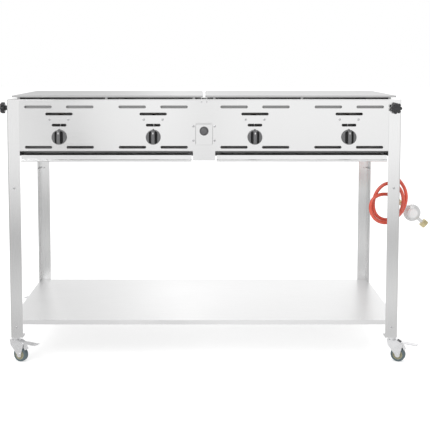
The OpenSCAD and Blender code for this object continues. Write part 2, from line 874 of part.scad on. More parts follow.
// Control knob: a round skirt with a grip bar across it that ends in a pointer at the top
module control_knob(n) {
    back = -panel_face - knob_gap;
    front = back - knob_height;
    skirt = knob_height * 0.4;
    color("dimgray") translate([BURNER_X[n], 0, knob_z]) difference() {
        union() {
            translate([0, back, 0]) rotate([90, 0, 0]) rotate_extrude() polygon([
                [0, 0], [knob_d / 2, 0], [knob_d / 2, skirt * 0.55],
                [knob_d / 2 - 2, skirt], [0, skirt]
            ]);
            along_y(front, back) intersection() {
                circle(d = knob_d - 4);
                translate([-grip_width / 2, -knob_d / 2]) round_rect(grip_width, knob_d, 3);
            }
            translate([0, back, 0]) rotate([90, 0, 0]) rotate_extrude() polygon([
                [0, 0], [knob_d * 0.36, 0], [knob_d * 0.32, knob_height - 5],
                [knob_d * 0.28, knob_height - 4], [0, knob_height - 4]
            ]);
            along_y(back - skirt, back) polygon([
                [-grip_width / 2, knob_d / 2 - 4], [grip_width / 2, knob_d / 2 - 4],
                [pointer_half, knob_d / 2 + pointer_reach],
                [-pointer_half, knob_d / 2 + pointer_reach]
            ]);
        }
        for (side = [0, 1]) mirror([side, 0, 0])
            translate([grip_width / 2 + 0.5, 0, 8 - knob_d / 2]) along_y(front - 1, back - skirt - 1)
                round_rect(11, knob_d - 16, 4);
        bar_y(spindle_d + 2 * running_fit, spindle_front - 0.5, back + 1);
    }
}

// Star knob: a lobed head on a neck, with a threaded stud into the panel's nut
module star_knob(n) {
    lobe_r = star_d / 6.5;
    color("black") at_corner(n) translate([0, leg_mid, star_z]) rotate([0, -90, 0]) {
        translate([0, 0, face_gap]) cylinder(d = stud_d + 8, h = star_neck + eps);
        translate([0, 0, face_gap + star_neck]) intersection() {
            linear_extrude(star_head) {
                circle(d = star_d - 2 * lobe_r + 2);
                for (k = [0:star_lobes - 1]) rotate(360 * k / star_lobes)
                    translate([star_d / 2 - lobe_r, 0]) circle(lobe_r);
            }
            translate([0, 0, star_head - star_d]) sphere(d = 2 * star_d);
        }
        translate([0, 0, -stud_length]) cylinder(d = stud_d, h = stud_length + 2);
    }
}

// ---------------------------------------------------------------- plates and trays

module cooking_plate(side) {
    left = side > 0 ? plate_split / 2 : -plate_split / 2 - plate_length;
    color("gray") translate([left, plate_front, seat_z]) linear_extrude(plate_thick)
        round_rect(plate_length, plate_depth, plate_corner);
}

// Drip tray: a shallow pan with rims along its sides and a rolled lip in front
module drip_tray(side) {
    front = -panel_face;
    floor_z = tray_top - tray_height;
    color("lightgray") translate([side * zone_centre, 0, 0]) {
        difference() {
            translate([-tray_body / 2, front, floor_z]) cube([tray_body, tray_depth, tray_height]);
            translate([-tray_body / 2 + sheet, front + sheet, floor_z + sheet])
                linear_extrude(tray_height)
                    round_rect(tray_body - 2 * sheet, tray_depth - 2 * sheet, tray_inner_r);
        }
        for (end = [0, 1]) mirror([end, 0, 0])
            translate([tray_body / 2 - eps, front, tray_top - sheet])
                cube([tray_rim + eps, tray_depth, sheet]);
        translate([-tray_length / 2, front, floor_z]) cube([tray_length, sheet, tray_height]);
        translate([0, front - tray_lip_r + sheet, floor_z + tray_lip_r])
            bar_x(2 * tray_lip_r, -tray_length / 2, tray_length / 2);
    }
}

// ---------------------------------------------------------------- castors

// Stem: bearing cup, threaded stem with its nut on the foot plate, and a riveted end
module castor_stem() {
    color("silver") {
        translate([0, 0, castor_height - race_height]) cylinder(d = race_d, h = race_height);
        translate([0, 0, fork_top - crown_thick - face_gap - 3]) cylinder(d = stem_d + 5, h = 3);
        translate([0, 0, fork_top - crown_thick - face_gap - 1])
            cylinder(d = stem_d, h = castor_height + foot_thick + 12 - fork_top + crown_thick);
        translate([0, 0, castor_height + foot_thick]) linear_extrude(8) hexagon(stem_d * 1.7);
    }
}

module castor_stems() {
    for (n = [0:3]) at_castor(n) castor_stem();
}

// Side of the fork, from the crown down to the axle and back to the pedal's pin
module fork_outline() {
    polygon([
        [-crown_lead, fork_top], [crown_tail, fork_top],
        [pedal_x + 6, pedal_z + 3], [pedal_x + 6, pedal_z - 5],
        [castor_trail + 9, axle_z + 3], [castor_trail, axle_z], [castor_trail - 8.5, axle_z],
        [-13, fork_top - 20]
    ]);
    translate([castor_trail, axle_z]) circle(axle_boss_r);
    translate([pedal_x, pedal_z]) circle(6);
}

module castor_fork(n) {
    color("silver") at_castor(n) {
        difference() {
            union() {
                for (side = [-1, 1]) translate([0, side * (fork_inside + fork_sheet / 2), 0])
                    along_y(-fork_sheet / 2, fork_sheet / 2) fork_outline();
                translate([-crown_lead, -fork_outside, fork_top - crown_thick])
                    cube([crown_lead + crown_tail, 2 * fork_outside, crown_thick]);
                translate([0, 0, fork_top - crown_thick]) cylinder(d = crown_d, h = crown_thick);
            }
            translate([0, 0, fork_top - 2 * crown_thick])
                cylinder(d = stem_d + 2 * running_fit, h = 3 * crown_thick);
        }
        translate([castor_trail, 0, axle_z]) {
            bar_y(axle_d, -fork_outside, fork_outside);
            for (side = [0, 1]) mirror([0, side, 0])
                bar_y(axle_d + 5, fork_outside - eps, fork_outside + 2);
        }
        translate([pedal_x, 0, pedal_z]) bar_y(pedal_pin_d, -fork_outside - 1, fork_outside + 1);
    }
}

// Wheel: tyre and hub on one bore, the hub dished between its rim and its boss
module castor_wheel(n) {
    half = wheel_width / 2;
    outer = wheel_d / 2;
    rim = outer - tyre_thick;
    boss = axle_d / 2 + 4;
    color("slategray") at_castor(n) translate([castor_trail, 0, axle_z]) rotate([90, 0, 0])
        rotate_extrude() difference() {
            union() {
                translate([axle_d / 2 + running_fit, -half])
                    square([outer - tread_r - axle_d / 2 - running_fit, 2 * half]);
                translate([outer - 2 * tread_r, -half + tread_r])
                    square([2 * tread_r, 2 * (half - tread_r)]);
                for (side = [-1, 1]) translate([outer - tread_r, side * (half - tread_r)])
                    circle(tread_r);
            }
            for (side = [0, 1]) mirror([0, side]) polygon([
                [boss, half + 1], [boss, half - 3], [rim - 2, half - 3], [rim, half + 1]
            ]);
        }
}

// Brake: a pedal on the fork's rear pin, with a shoe that comes down on the tyre
module castor_brake(n) {
    wide = fork_outside;
    narrow = fork_inside - 2 * face_gap;
    tip_z = pedal_z + 2;
    color("whitesmoke") at_castor(n) difference() {
        union() {
            translate([pedal_x, 0, pedal_z]) bar_y(pedal_pin_d + 5, -narrow, narrow);
            along_y(-narrow, narrow) polygon([
                [pedal_x - 2, pedal_z + 3], [pedal_x + 1, pedal_z + 7],
                [pedal_x + 12, pedal_z + 6], [pedal_x + 12, pedal_z + 3.4],
                [pedal_x + 4, pedal_z + 3]
            ]);
            along_y(-wide, wide) polygon([
                [pedal_x + 9, pedal_z + 6.3], [pedal_reach - 12, tip_z + 2],
                [pedal_reach, tip_z + 3], [pedal_reach, tip_z + 0.5],
                [pedal_reach - 12, tip_z - 0.6], [pedal_x + 9, pedal_z + 3.7]
            ]);
            along_y(-narrow + 1, narrow - 1) polygon([
                [pedal_x + 2, pedal_z - 3], [pedal_x + 5, pedal_z], [pedal_x + 15, pedal_z - 18],
                [pedal_x + 11, pedal_z - 20]
            ]);
        }
        translate([pedal_x, 0, pedal_z])
            bar_y(pedal_pin_d + 2 * running_fit, -wide, wide);
    }
}

// ---------------------------------------------------------------- hose

function unit(v) = v / norm(v);

// Point on a smooth curve through the points of a route, at a share t after point i
function spline_at(p, i, t) =
    let (
        a = p[max(i - 1, 0)], b = p[i], c = p[i + 1], d = p[min(i + 2, len(p) - 1)]
    )
    0.5 * (2 * b + (c - a) * t + (2 * a - 5 * b + 4 * c - d) * t * t
        + (3 * b - a - 3 * c + d) * t * t * t);

function smooth_route(p, steps) = [
    for (i = [0:len(p) - 2], k = [0:steps - 1]) spline_at(p, i, k / steps), p[len(p) - 1]
];

function tangents(p) = [
    for (i = [0:len(p) - 1]) unit(p[min(i + 1, len(p) - 1)] - p[max(i - 1, 0)])
];

// Normals carried along the tangents without twist
function normals(t) = [
    for (
        i = 0, n = unit(cross(t[0], [1, 0.2, 0.1]));
        i < len(t);
        i = i + 1, n = i < len(t) ? unit(n - (n * t[i]) * t[i]) : n
    ) n
];

// Round tube of diameter d along a route of points
module swept_tube(route, d, sides) {
    t = tangents(route);
    u = normals(t);
    count = len(route);
    ring_points = [
        for (i = [0:count - 1], k = [0:sides - 1])
            let (a = 360 * k / sides, v = cross(t[i], u[i]))
            route[i] + d / 2 * (cos(a) * u[i] + sin(a) * v)
    ];
    side_faces = [
        for (i = [0:count - 2], k = [0:sides - 1], half = [0, 1])
            let (a = i * sides + k, b = i * sides + (k + 1) % sides)
            half == 0 ? [a, b, a + sides] : [b, b + sides, a + sides]
    ];
    first_cap = [[for (k = [sides - 1:-1:0]) k]];
    last_cap = [[for (k = [0:sides - 1]) (count - 1) * sides + k]];
    polyhedron(ring_points, concat(side_faces, first_cap, last_cap), convexity = 6);
}

// Clip: a strap round the coil's bundle, screwed to the leg's upper hanger screw
module hose_clip() {
    ring_z = coil_at[2] + coil_r;
    inner = bundle_d / 2 + clip_clear;
    outer = inner + clip_thick;
    tab_y = -panel_face;
    color("silver") along_x(inlet_x - clip_half, inlet_x + clip_half) {
        translate([coil_at[1], ring_z]) difference() {
            circle(outer);
            circle(inner);
        }
        translate([tab_y, ring_z - outer]) square([coil_at[1] - tab_y, clip_thick]);
    }
    color("silver") along_y(tab_y, tab_y + clip_thick) difference() {
        translate([inlet_x - clip_half, ring_z - outer])
            square([2 * clip_half, hanger_z + clip_half - ring_z + outer]);
        translate([inlet_x, hanger_z]) circle(d = screw_hole_d);
    }
}

// The two stretches of hose that aren't coiled: from the inlet, and to the regulator
module gas_hose() {
    color("tomato") {
        swept_tube(smooth_route(HOSE_FEED, 2), hose_d, 10);
        swept_tube(smooth_route(concat(HOSE_TAIL, [hose_nut_end]), 2), hose_d, 10);
    }
}

module gas_hose_coil() {
    color("tomato") translate(coil_at) rotate([90, 0, 0]) rotate_extrude()
        translate([coil_r, 0]) circle(d = bundle_d);
}

// Places a child on the regulator's pipe line, +X towards the bottle
module at_regulator() {
    translate(regulator_at) rotate([0, regulator_tilt, 0]) children();
}

// Regulator: two flanged shells on a through pipe, with the hose's brass nut
module regulator() {
    half = regulator_thick / 2;
    r = regulator_d / 2;
    at_regulator() {
        color("silver") rotate([90, 0, 0]) rotate_extrude() {
            polygon([
                [0, -half], [r * 0.5, -half], [r * 0.82, -half + 5], [r * 0.86, -3], [r, -3],
                [r, 3], [r * 0.9, 3], [r * 0.84, half - 4], [r * 0.62, half], [0, half]
            ]);
            translate([0, half - eps]) square([r * 0.5, 4]);
        }
        color("silver") bar_x(stem_neck_d, r - 8, nut_start + nut_floor + collar_thick);
        color("silver")
            bar_x(collar_d, nut_start + nut_floor + face_gap, nut_start + nut_floor + collar_thick);
        color("goldenrod") {
            bar_x(hose_neck_d, -r - hose_neck, -r + hose_neck);
            along_x(-r - hose_neck - hose_hex, -r - hose_neck + eps)
                rotate(30) hexagon(hose_hex_flats);
            bar_x(hose_d + 3, -hose_nut_reach, -r - hose_neck - hose_hex + eps);
        }
    }
}

// Bottle nut: a hexagon that turns on the regulator's stem, threaded for the bottle
module bottle_nut() {
    at_regulator() color("goldenrod") difference() {
        along_x(nut_start, nut_start + bottle_nut_length) hexagon(bottle_nut_flats);
        bar_x(stem_neck_d + 2 * running_fit, nut_start - 1, nut_start + bottle_nut_length);
        bar_x(collar_d + 2 * face_gap, nut_start + nut_floor, nut_start + bottle_nut_length);
        bar_x(bottle_thread_d, nut_start + nut_floor + collar_thick, nut_start + bottle_nut_length + 1);
    }
}

// ---------------------------------------------------------------- nodes

front_panel();
back_panel();
end_panel(-1);  // end_panel_left
end_panel(1);  // end_panel_right
fire_box(-1);  // fire_box_left
fire_box(1);  // fire_box_right
partition(-1);  // partition_left
partition(1);  // partition_right
centre_spine();
centre_cover();
bottom_shelf();
pan_screws();
gas_manifold();
gas_valves();
inlet_fitting();
igniter_electrodes();
igniter_body();
igniter_button();
cooking_plate(-1);  // cooking_plate_left
cooking_plate(1);  // cooking_plate_right
drip_tray(-1);  // drip_tray_left
drip_tray(1);  // drip_tray_right
castor_stems();
hose_clip();
gas_hose();
gas_hose_coil();
regulator();
bottle_nut();
for (n = [0:3]) {
    leg(n);
    burner(n);
    valve_spindle(n);
    control_knob(n);
    star_knob(n);
    castor_fork(n);
    castor_wheel(n);
    castor_brake(n);
}
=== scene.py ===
import json
import math

import bmesh
import bpy
import numpy as np
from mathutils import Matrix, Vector


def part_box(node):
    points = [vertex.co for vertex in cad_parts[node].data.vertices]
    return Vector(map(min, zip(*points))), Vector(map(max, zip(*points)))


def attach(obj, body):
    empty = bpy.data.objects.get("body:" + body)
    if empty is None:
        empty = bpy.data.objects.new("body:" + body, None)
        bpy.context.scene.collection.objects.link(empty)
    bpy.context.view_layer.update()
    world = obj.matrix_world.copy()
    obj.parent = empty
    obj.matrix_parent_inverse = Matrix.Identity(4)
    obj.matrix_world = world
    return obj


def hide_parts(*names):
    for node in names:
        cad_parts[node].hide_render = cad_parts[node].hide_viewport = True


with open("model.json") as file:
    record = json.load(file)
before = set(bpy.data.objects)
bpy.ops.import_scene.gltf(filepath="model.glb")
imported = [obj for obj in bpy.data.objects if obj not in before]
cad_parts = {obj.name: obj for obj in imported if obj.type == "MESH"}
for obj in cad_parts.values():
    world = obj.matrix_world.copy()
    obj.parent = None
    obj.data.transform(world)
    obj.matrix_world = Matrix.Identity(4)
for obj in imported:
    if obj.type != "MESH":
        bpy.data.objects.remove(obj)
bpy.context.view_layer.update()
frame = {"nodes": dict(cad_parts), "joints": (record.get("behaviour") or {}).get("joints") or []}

bl_info = {
    "name": "Gas barbecue grill finish",
    "version": (1, 0, 0),
    "blender": (4, 5, 0),
    "location": "3D View > Sidebar > Grill",
    "description": "Dresses the packed frame of a four-burner gas barbecue grill on castors",
    "category": "Object",
}

MM = 0.001
PLACES = ("front_left", "front_right", "back_right", "back_left")
BURNERS = (1, 2, 3, 4)
BURNER_X = (-0.493, -0.173, 0.173, 0.493)
LEG_MIDDLE = 0.021  # from a leg's corner to the middle of a flange
JOINTS = {j["name"]: j for j in frame["joints"]}


# ---------------------------------------------------------------- shapes as arrays


def middle(node):
    """Middle of a CAD node's box at rest."""
    low, high = (np.array(corner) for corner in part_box(node))
    return (low + high) / 2


def unit(v):
    """Vectors divided by their own lengths, along the last axis."""
    v = np.asarray(v, float)
    return v / np.linalg.norm(v, axis=-1, keepdims=True)


def placed(points, origin, axis, up=(0.0, 0.0, 1.0)):
    """Local points in millimetres put in the row frame: local z runs along axis, and local y
    is the part of up that is square to it. Each result is origin + x u + y v + z axis."""
    w = unit(axis)
    v = unit(np.asarray(up, float) - np.dot(up, w) * w)
    u = np.cross(v, w)
    return np.asarray(origin, float) + MM * (points @ np.array([u, v, w]))


def lathe(profile, sides, radius=None):
    """Surface of revolution round local z. Each station (r, z) of the profile becomes a ring of
    points (r cos a, r sin a, z), with a the angle; radius, if given, multiplies r by a function
    of (station, a)."""
    profile = np.asarray(profile, float)
    a = np.linspace(0, 2 * math.pi, sides, endpoint=False)[None, :]
    r = profile[:, 0][:, None] * np.ones_like(a)
    if radius is not None:
        r = r * radius(np.arange(len(profile))[:, None], a)
    z = profile[:, 1][:, None] * np.ones_like(a)
    return np.stack([r * np.cos(a), r * np.sin(a), z], -1)


def rounded(profile, radius, steps=4):
    """Profile with its inner corners cut by arcs: each corner b between a and c becomes the
    quadratic curve (1-t)^2 p + 2t(1-t) b + t^2 q, with p and q on the two sides, radius from b
    or at most 0.45 of the side's length."""
    pts = np.asarray(profile, float)
    a, b, c = pts[:-2], pts[1:-1], pts[2:]

    def cut(side):
        span = np.maximum(np.linalg.norm(side, axis=1), 1e-9)
        return b + side * np.minimum(radius / span, 0.45)[:, None]

    p, q = cut(a - b), cut(c - b)
    t = np.linspace(0, 1, steps)[None, :, None]
    arcs = (1 - t) ** 2 * p[:, None] + 2 * t * (1 - t) * b[:, None] + t ** 2 * q[:, None]
    return np.vstack([pts[:1], arcs.reshape(-1, pts.shape[1]), pts[-1:]])


def through(points, steps):
    """Smooth curve through the points: on each stretch the Catmull-Rom cubic of its four
    neighbours, at steps equal shares of the stretch."""
    p = np.asarray(points, float)
    a, b, c, d = (np.vstack([p[:1], p[:-2]]), p[:-1], p[1:], np.vstack([p[2:], p[-1:]]))
    t = (np.arange(steps) / steps)[None, :, None]
    a, b, c, d = (x[:, None] for x in (a, b, c, d))
    curve = 0.5 * (
        2 * b + (c - a) * t + (2 * a - 5 * b + 4 * c - d) * t ** 2
        + (3 * b - a - 3 * c + d) * t ** 3
    )
    return np.vstack([curve.reshape(-1, 3), p[-1:]])


def evenly(points, count):
    """The same line with count points at equal distances along it."""
    run = np.r_[0, np.cumsum(np.linalg.norm(np.diff(points, axis=0), axis=1))]
    at = np.linspace(0, run[-1], count)
    return np.stack([np.interp(at, run, points[:, k]) for k in range(3)], -1)


def eased(points, width):
    """Each inner point replaced by the mean of its neighbours over a window, the ends kept."""
    kernel = np.ones(width) / width
    pad = width // 2
    out = points.copy()
    for k in range(3):
        line = np.r_[
            2 * points[0, k] - points[pad:0:-1, k],
            points[:, k],
            2 * points[-1, k] - points[-2:-pad - 2:-1, k],
        ]
        out[:, k] = np.convolve(line, kernel, "valid")
    return out


def tube(path, radius, sides):
    """Rings round a path: p + radius (cos a u + sin a v), where v is square to the path's
    direction and to the Y axis, and u is square to both. The path never runs along Y."""
    step = unit(np.gradient(path, axis=0))
    v = unit(np.cross(step, (0.0, 1.0, 0.0)))
    u = np.cross(v, step)
    a = np.linspace(0, 2 * math.pi, sides, endpoint=False)[None, :, None]
    return path[:, None] + radius * (np.cos(a) * u[:, None] + np.sin(a) * v[:, None])


def net(rows, columns, wrap):
    """Corner numbers of the quads of a grid of rows by columns, whose columns join up at the
    ends when wrap is true."""
    i = np.arange(rows - 1)[:, None]
    j = np.arange(columns if wrap else columns - 1)[None, :]
    k = (j + 1) % columns
    return np.stack(
        [i * columns + j, i * columns + k, (i + 1) * columns + k, (i + 1) * columns + j], -1
    ).reshape(-1, 4)


def square_disc(u, v):
    """Unit square to unit disc: x = u sqrt(1 - v^2 / 2) and y = v sqrt(1 - u^2 / 2)."""
    return u * np.sqrt(1 - v ** 2 / 2), v * np.sqrt(1 - u ** 2 / 2)


def soft_step(x, low, high):
    """0 below low, 1 above high, and 3t^2 - 2t^3 between."""
    t = np.clip((x - low) / (high - low), 0, 1)
    return t * t * (3 - 2 * t)


def star_radius(a, lobes, tip, lobe):
    """Outline of round lobes on a circle: c cos b + sqrt(lobe^2 - (c sin b)^2), where c is the
    distance of the lobes' middles and b the angle to the nearest one."""
    part = 2 * math.pi / lobes
    b = np.abs((a + part / 2) % part - part / 2)
    c = tip - lobe
    return c * np.cos(b) + np.sqrt(np.maximum(lobe ** 2 - (c * np.sin(b)) ** 2, 0))


def hexagon_radius(a, flats, corner):
    """Outline of a hexagon with a flat at angle 0: half the width over flats divided by
    cos b, with b the angle to the nearest flat's middle, and at most the corner's radius."""
    b = (a + math.pi / 6) % (math.pi / 3) - math.pi / 6
    return np.minimum(flats / 2 / np.cos(b), corner)


def nut(profile, flat, flats, corner):
    """Surface of revolution whose flat stations, given as true, follow a hexagon's outline."""
    flat = np.asarray(flat)[:, None]
    return lathe(profile, 72, lambda k, a: np.where(
        flat[k[:, 0]], hexagon_radius(a, flats, corner) / corner, 1.0))


def raised_disc(half, count, wall, outline, height):
    """Disc with a relief, on a square grid from -1 - wall to 1 + wall. Inside the unit square
    a point is outline(angle) times the square's point carried to the unit disc, at
    height(x, y); past it the rim drops straight to height 0 as the grid runs on."""
    rim = np.linspace(1, 1 + wall, 5)[1:]
    line = np.r_[-rim[::-1], np.linspace(-1, 1, 2 * count + 1), rim]
    u, v = np.meshgrid(line, line, indexing="ij")
    past = np.maximum(np.maximum(np.abs(u), np.abs(v)), 1)
    x, y = square_disc(u / past, v / past)
    angle, share_out = np.arctan2(y, x), np.hypot(x, y)
    reach = half + (outline(angle) - half) * soft_step(share_out, 0.8, 1)
    x, y = reach * x, reach * y
    z = height(x, y) * np.clip(1 - (past - 1) / wall, 0, 1)
    return np.stack([x, y, z], -1)


def border(size):
    """Corner numbers round the edge of a square grid, once round."""
    k = np.arange(size - 1)
    return np.r_[k, k * size + size - 1, size * size - 1 - k, (size - 1 - k) * size]


class Shell:
    """A mesh put together from closed surfaces: points, faces and a material number each."""

    def __init__(self, name):
        self.name, self.points, self.faces, self.slots, self.count = name, [], [], [], 0

    def add(self, grid, cap=False, slot=0, sheet=False):
        """Adds a grid of points as quads, with one material slot or one for each quad. Its
        rows are rings, and cap closes the first and the last; sheet says that it is a square
        grid instead, closed with one face at its back."""
        rows, columns = grid.shape[:2]
        quads = net(rows, columns, not sheet)
        new = [tuple(q) for q in (quads + self.count).tolist()]
        numbers = np.broadcast_to(slot, (len(new),)).tolist()
        if cap:
            new.append(tuple(range(self.count + columns - 1, self.count - 1, -1)))
            last = self.count + (rows - 1) * columns
            new.append(tuple(range(last, last + columns)))
        if sheet:
            new.append(tuple((border(rows)[::-1] + self.count).tolist()))
        self.points.append(grid.reshape(-1, 3))
        self.faces += new
        self.slots += numbers + numbers[:1] * (len(new) - len(numbers))
        self.count += rows * columns
        return self

    def make(self, materials, sharp=35.0):
        """The object: doubles merged, so that seams and poles close, faces turned outwards,
        and edges sharper than the given angle kept sharp."""
        mesh = bpy.data.meshes.new(self.name)
        mesh.from_pydata(np.vstack(self.points), [], self.faces)
        mesh.polygons.foreach_set("material_index", np.array(self.slots, np.int32))
        work = bmesh.new()
        work.from_mesh(mesh)
        bmesh.ops.remove_doubles(work, verts=work.verts, dist=1e-6)
        bmesh.ops.dissolve_degenerate(work, edges=work.edges, dist=1e-7)
        bmesh.ops.recalc_face_normals(work, faces=work.faces)
        work.to_mesh(mesh)
        work.free()
        mesh.polygons.foreach_set("use_smooth", np.ones(len(mesh.polygons), bool))
        mesh.set_sharp_from_angle(angle=math.radians(sharp))
        for material in materials:
            mesh.materials.append(material)
        piece = bpy.data.objects.new(self.name, mesh)
        bpy.context.scene.collection.objects.link(piece)
        return piece


# ---------------------------------------------------------------- finishes


def add_node(tree, kind, where=(0, 0), **settings):
    """A node of that kind; settings that name an input set its value, the others the node's."""
    made = tree.nodes.new(kind)
    made.location = where
    for key, value in settings.items():
        if key.startswith("in_"):
            name = key[3:]
            name = int(name) if name.isdigit() else name.replace("_", " ")
            made.inputs[name].default_value = value
        else:
            setattr(made, key, value)
    return made


def mixed(tree, factor, dark, light, blend="MIX"):
    """A Mix node of two colours, each a colour or a socket, by a factor socket or number."""
    made = tree.nodes.new("ShaderNodeMix")
    made.data_type, made.blend_type = "RGBA", blend
    for place, value in ((0, factor), (6, dark), (7, light)):
        if isinstance(value, bpy.types.NodeSocket):
            tree.links.new(value, made.inputs[place])
        else:
            made.inputs[place].default_value = value if place == 0 else (*value[:3], 1)
    return made.outputs[2]


def ranged(tree, socket, low, high, to_low, to_high):
    """The socket's value carried from one range to another, and held inside it."""
    made = add_node(tree, "ShaderNodeMapRange", in_1=low, in_2=high, in_3=to_low, in_4=to_high)
    tree.links.new(socket, made.inputs[0])
    return made.outputs[0]


def maths(tree, operation, *values):
    """A Math node on sockets and numbers."""
    made = add_node(tree, "ShaderNodeMath", operation=operation)
    for k, value in enumerate(values):
        if isinstance(value, bpy.types.NodeSocket):
            tree.links.new(value, made.inputs[k])
        else:
            made.inputs[k].default_value = value
    return made.outputs[0]


def between(tree, factor, tones):
    """Two tones mixed by a noise, whose middle range is spread from one to the other."""
    return mixed(tree, ranged(tree, factor, 0.3, 0.7, 0, 1), *tones)


def times(tree, base, tone):
    """A colour socket multiplied by another."""
    return mixed(tree, 1.0, base, tone, "MULTIPLY")


def relief(tree, shader, height, strength, depth):
    """Bump on the shader's normal from a height socket."""
    raised = add_node(tree, "ShaderNodeBump", in_Strength=strength, in_Distance=depth)
    tree.links.new(height, raised.inputs["Height"])
    tree.links.new(raised.outputs[0], shader.inputs["Normal"])


def noise(tree, scale, stretch=(1, 1, 1), detail=3.0):
    """Noise on the piece's own coordinates, squeezed along each axis by stretch."""
    at = add_node(tree, "ShaderNodeTexCoord")
    fit = add_node(tree, "ShaderNodeMapping", in_Scale=stretch)
    made = add_node(tree, "ShaderNodeTexNoise", in_Scale=scale, in_Detail=detail,
                    in_Roughness=0.55)
    tree.links.new(at.outputs["Object"], fit.inputs["Vector"])
    tree.links.new(fit.outputs[0], made.inputs["Vector"])
    return made.outputs["Fac"]


def spangle(tree, scale):
    """The random tone of each cell of a broken-up pattern of crystals."""
    at = add_node(tree, "ShaderNodeTexCoord")
    cells = add_node(tree, "ShaderNodeTexVoronoi", in_Scale=scale)
    grey = add_node(tree, "ShaderNodeSeparateColor")
    tree.links.new(at.outputs["Object"], cells.inputs["Vector"])
    tree.links.new(cells.outputs["Color"], grey.inputs[0])
    return grey.outputs[0]


def new_material(name):
    """A material with one shader on its output, its node tree and the shader."""
    material = bpy.data.materials.new(name)
    material.use_nodes = True
    tree = material.node_tree
    tree.nodes.clear()
    out = add_node(tree, "ShaderNodeOutputMaterial", (600, 0))
    shader = add_node(tree, "ShaderNodeBsdfPrincipled", (300, 0))
    tree.links.new(shader.outputs[0], out.inputs["Surface"])
    return material, tree, shader


def shades(colour, spread):
    """The colour darkened and lightened by a share."""
    return [[min(1.0, c * k) for c in colour[:3]] for k in (1 - spread, 1 + spread)]


def metal(name, colour, roughness, stretch=(1, 1, 1), grain=600.0, tone=0.05, cloud=3.0,
          cloud_tone=0.04, wear=0.06, bump=0.12, crystals=0.0, tint=(1, 1, 1), brushed=None):
    """Metal whose grain is noise drawn out along one axis, under slow clouds of tone and
    polish. crystals adds zinc's spangle at that scale; tint is the clouds' other colour;
    brushed is the axis of the brushing, across which reflections spread."""
    material, tree, shader = new_material(name)
    lines = noise(tree, grain, stretch)
    slow = noise(tree, cloud, detail=2.0)
    low, high = shades((1, 1, 1), cloud_tone)
    low = [a * b for a, b in zip(low, tint)]
    base = times(tree, between(tree, lines, shades(colour, tone)),
                 between(tree, slow, (low, high)))
    if crystals:
        base = times(tree, base, mixed(tree, spangle(tree, crystals), *shades((1, 1, 1), 0.08)))
    tree.links.new(base, shader.inputs["Base Color"])
    half = wear / 2
    worn = maths(tree, "ADD", ranged(tree, lines, 0.3, 0.7, roughness - half, roughness + half),
                 ranged(tree, slow, 0.3, 0.7, -half, half))
    tree.links.new(worn, shader.inputs["Roughness"])
    relief(tree, shader, lines, bump, 0.0004)
    shader.inputs["Metallic"].default_value = 1.0
    if brushed:
        across = add_node(tree, "ShaderNodeTangent", direction_type="RADIAL", axis=brushed)
        tree.links.new(across.outputs[0], shader.inputs["Tangent"])
        shader.inputs["Anisotropic"].default_value = 0.8
    return material


def moulded(name, colour, roughness, grain=900.0, tone=0.12, bump=0.15, cloud=12.0, coat=0.0,
            specular=0.5):
    """Moulded plastic, rubber or glaze: a fine pebbled grain with slow patches of tone."""
    material, tree, shader = new_material(name)
    fine = noise(tree, grain, detail=2.0)
    slow = noise(tree, cloud, detail=2.0)
    base = times(tree, between(tree, slow, shades(colour, tone)),
                 between(tree, fine, shades((1, 1, 1), tone / 2)))
    tree.links.new(base, shader.inputs["Base Color"])
    worn = ranged(tree, fine, 0.3, 0.7, roughness - 0.05, roughness + 0.06)
    tree.links.new(worn, shader.inputs["Roughness"])
    relief(tree, shader, fine, bump, 0.0003)
    shader.inputs["Specular IOR Level"].default_value = specular
    shader.inputs["Coat Weight"].default_value = coat
    return material


def dress(node, material):
    """Gives a CAD node its finish."""
    mesh = frame["nodes"][node].data
    mesh.materials.clear()
    mesh.materials.append(material)


def belongs(piece, body, slot, *nodes):
    """The piece rides on a body and stands for CAD nodes; its slot is not used."""
    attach(piece, body)
    if nodes:
        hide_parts(*nodes)
    return piece


# ---------------------------------------------------------------- settings


def length(name, description, default, low=0.0):
    """A length setting."""
    return bpy.props.FloatProperty(
        name=name, description=description, default=default, min=low, unit="LENGTH", precision=4
    )


def colour(name, description, default):
    """A colour setting."""
    return bpy.props.FloatVectorProperty(
        name=name, description=description, default=default, size=3, min=0, max=1, subtype="COLOR"
    )


def share(name, description, default, high=1.0):
    """A setting from 0 to high."""
    return bpy.props.FloatProperty(
        name=name, description=description, default=default, min=0, max=high, subtype="FACTOR"
    )


class GrillStage(bpy.types.PropertyGroup):
    """Camera, floor and light"""

    camera_at: bpy.props.FloatVectorProperty(
        name="Camera place", description="Where the camera stands", size=3,
        default=(0.0006, -3.4974, 1.0483), subtype="TRANSLATION", unit="LENGTH",
    )
    camera_down: bpy.props.FloatProperty(
        name="Camera tilt", description="How far the camera looks down",
        default=math.radians(5.182), subtype="ANGLE", unit="ROTATION",
    )
    lens: bpy.props.FloatProperty(
        name="Lens", description="Focal length on a 36 mm sensor", default=78.85,
        unit="CAMERA",
    )
    shift: bpy.props.FloatVectorProperty(
        name="Shift", description="Sideways and upward shift of the picture", size=2,
        default=(0.025, -0.165), subtype="NONE",
    )
    floor_size: length("Floor size", "Side of the square floor", 60.0)
    floor_colour: colour("Floor colour", "Colour of the floor", (0.93, 0.93, 0.93))
    lift: share("Floor lift", "Light that the camera sees added to the floor", 0.45)
    surround: share("Surround", "Strength of the light from all round", 0.78, 2.0)
    overhead: share("Overhead", "Strength of what reflections see straight above", 0.55)
    key: bpy.props.FloatProperty(
        name="Key lamp", description="Power of the large lamp in front", default=40.0, unit="POWER"
    )
    top: bpy.props.FloatProperty(
        name="Top lamp", description="Power of the large lamp above", default=22.0, unit="POWER"
    )


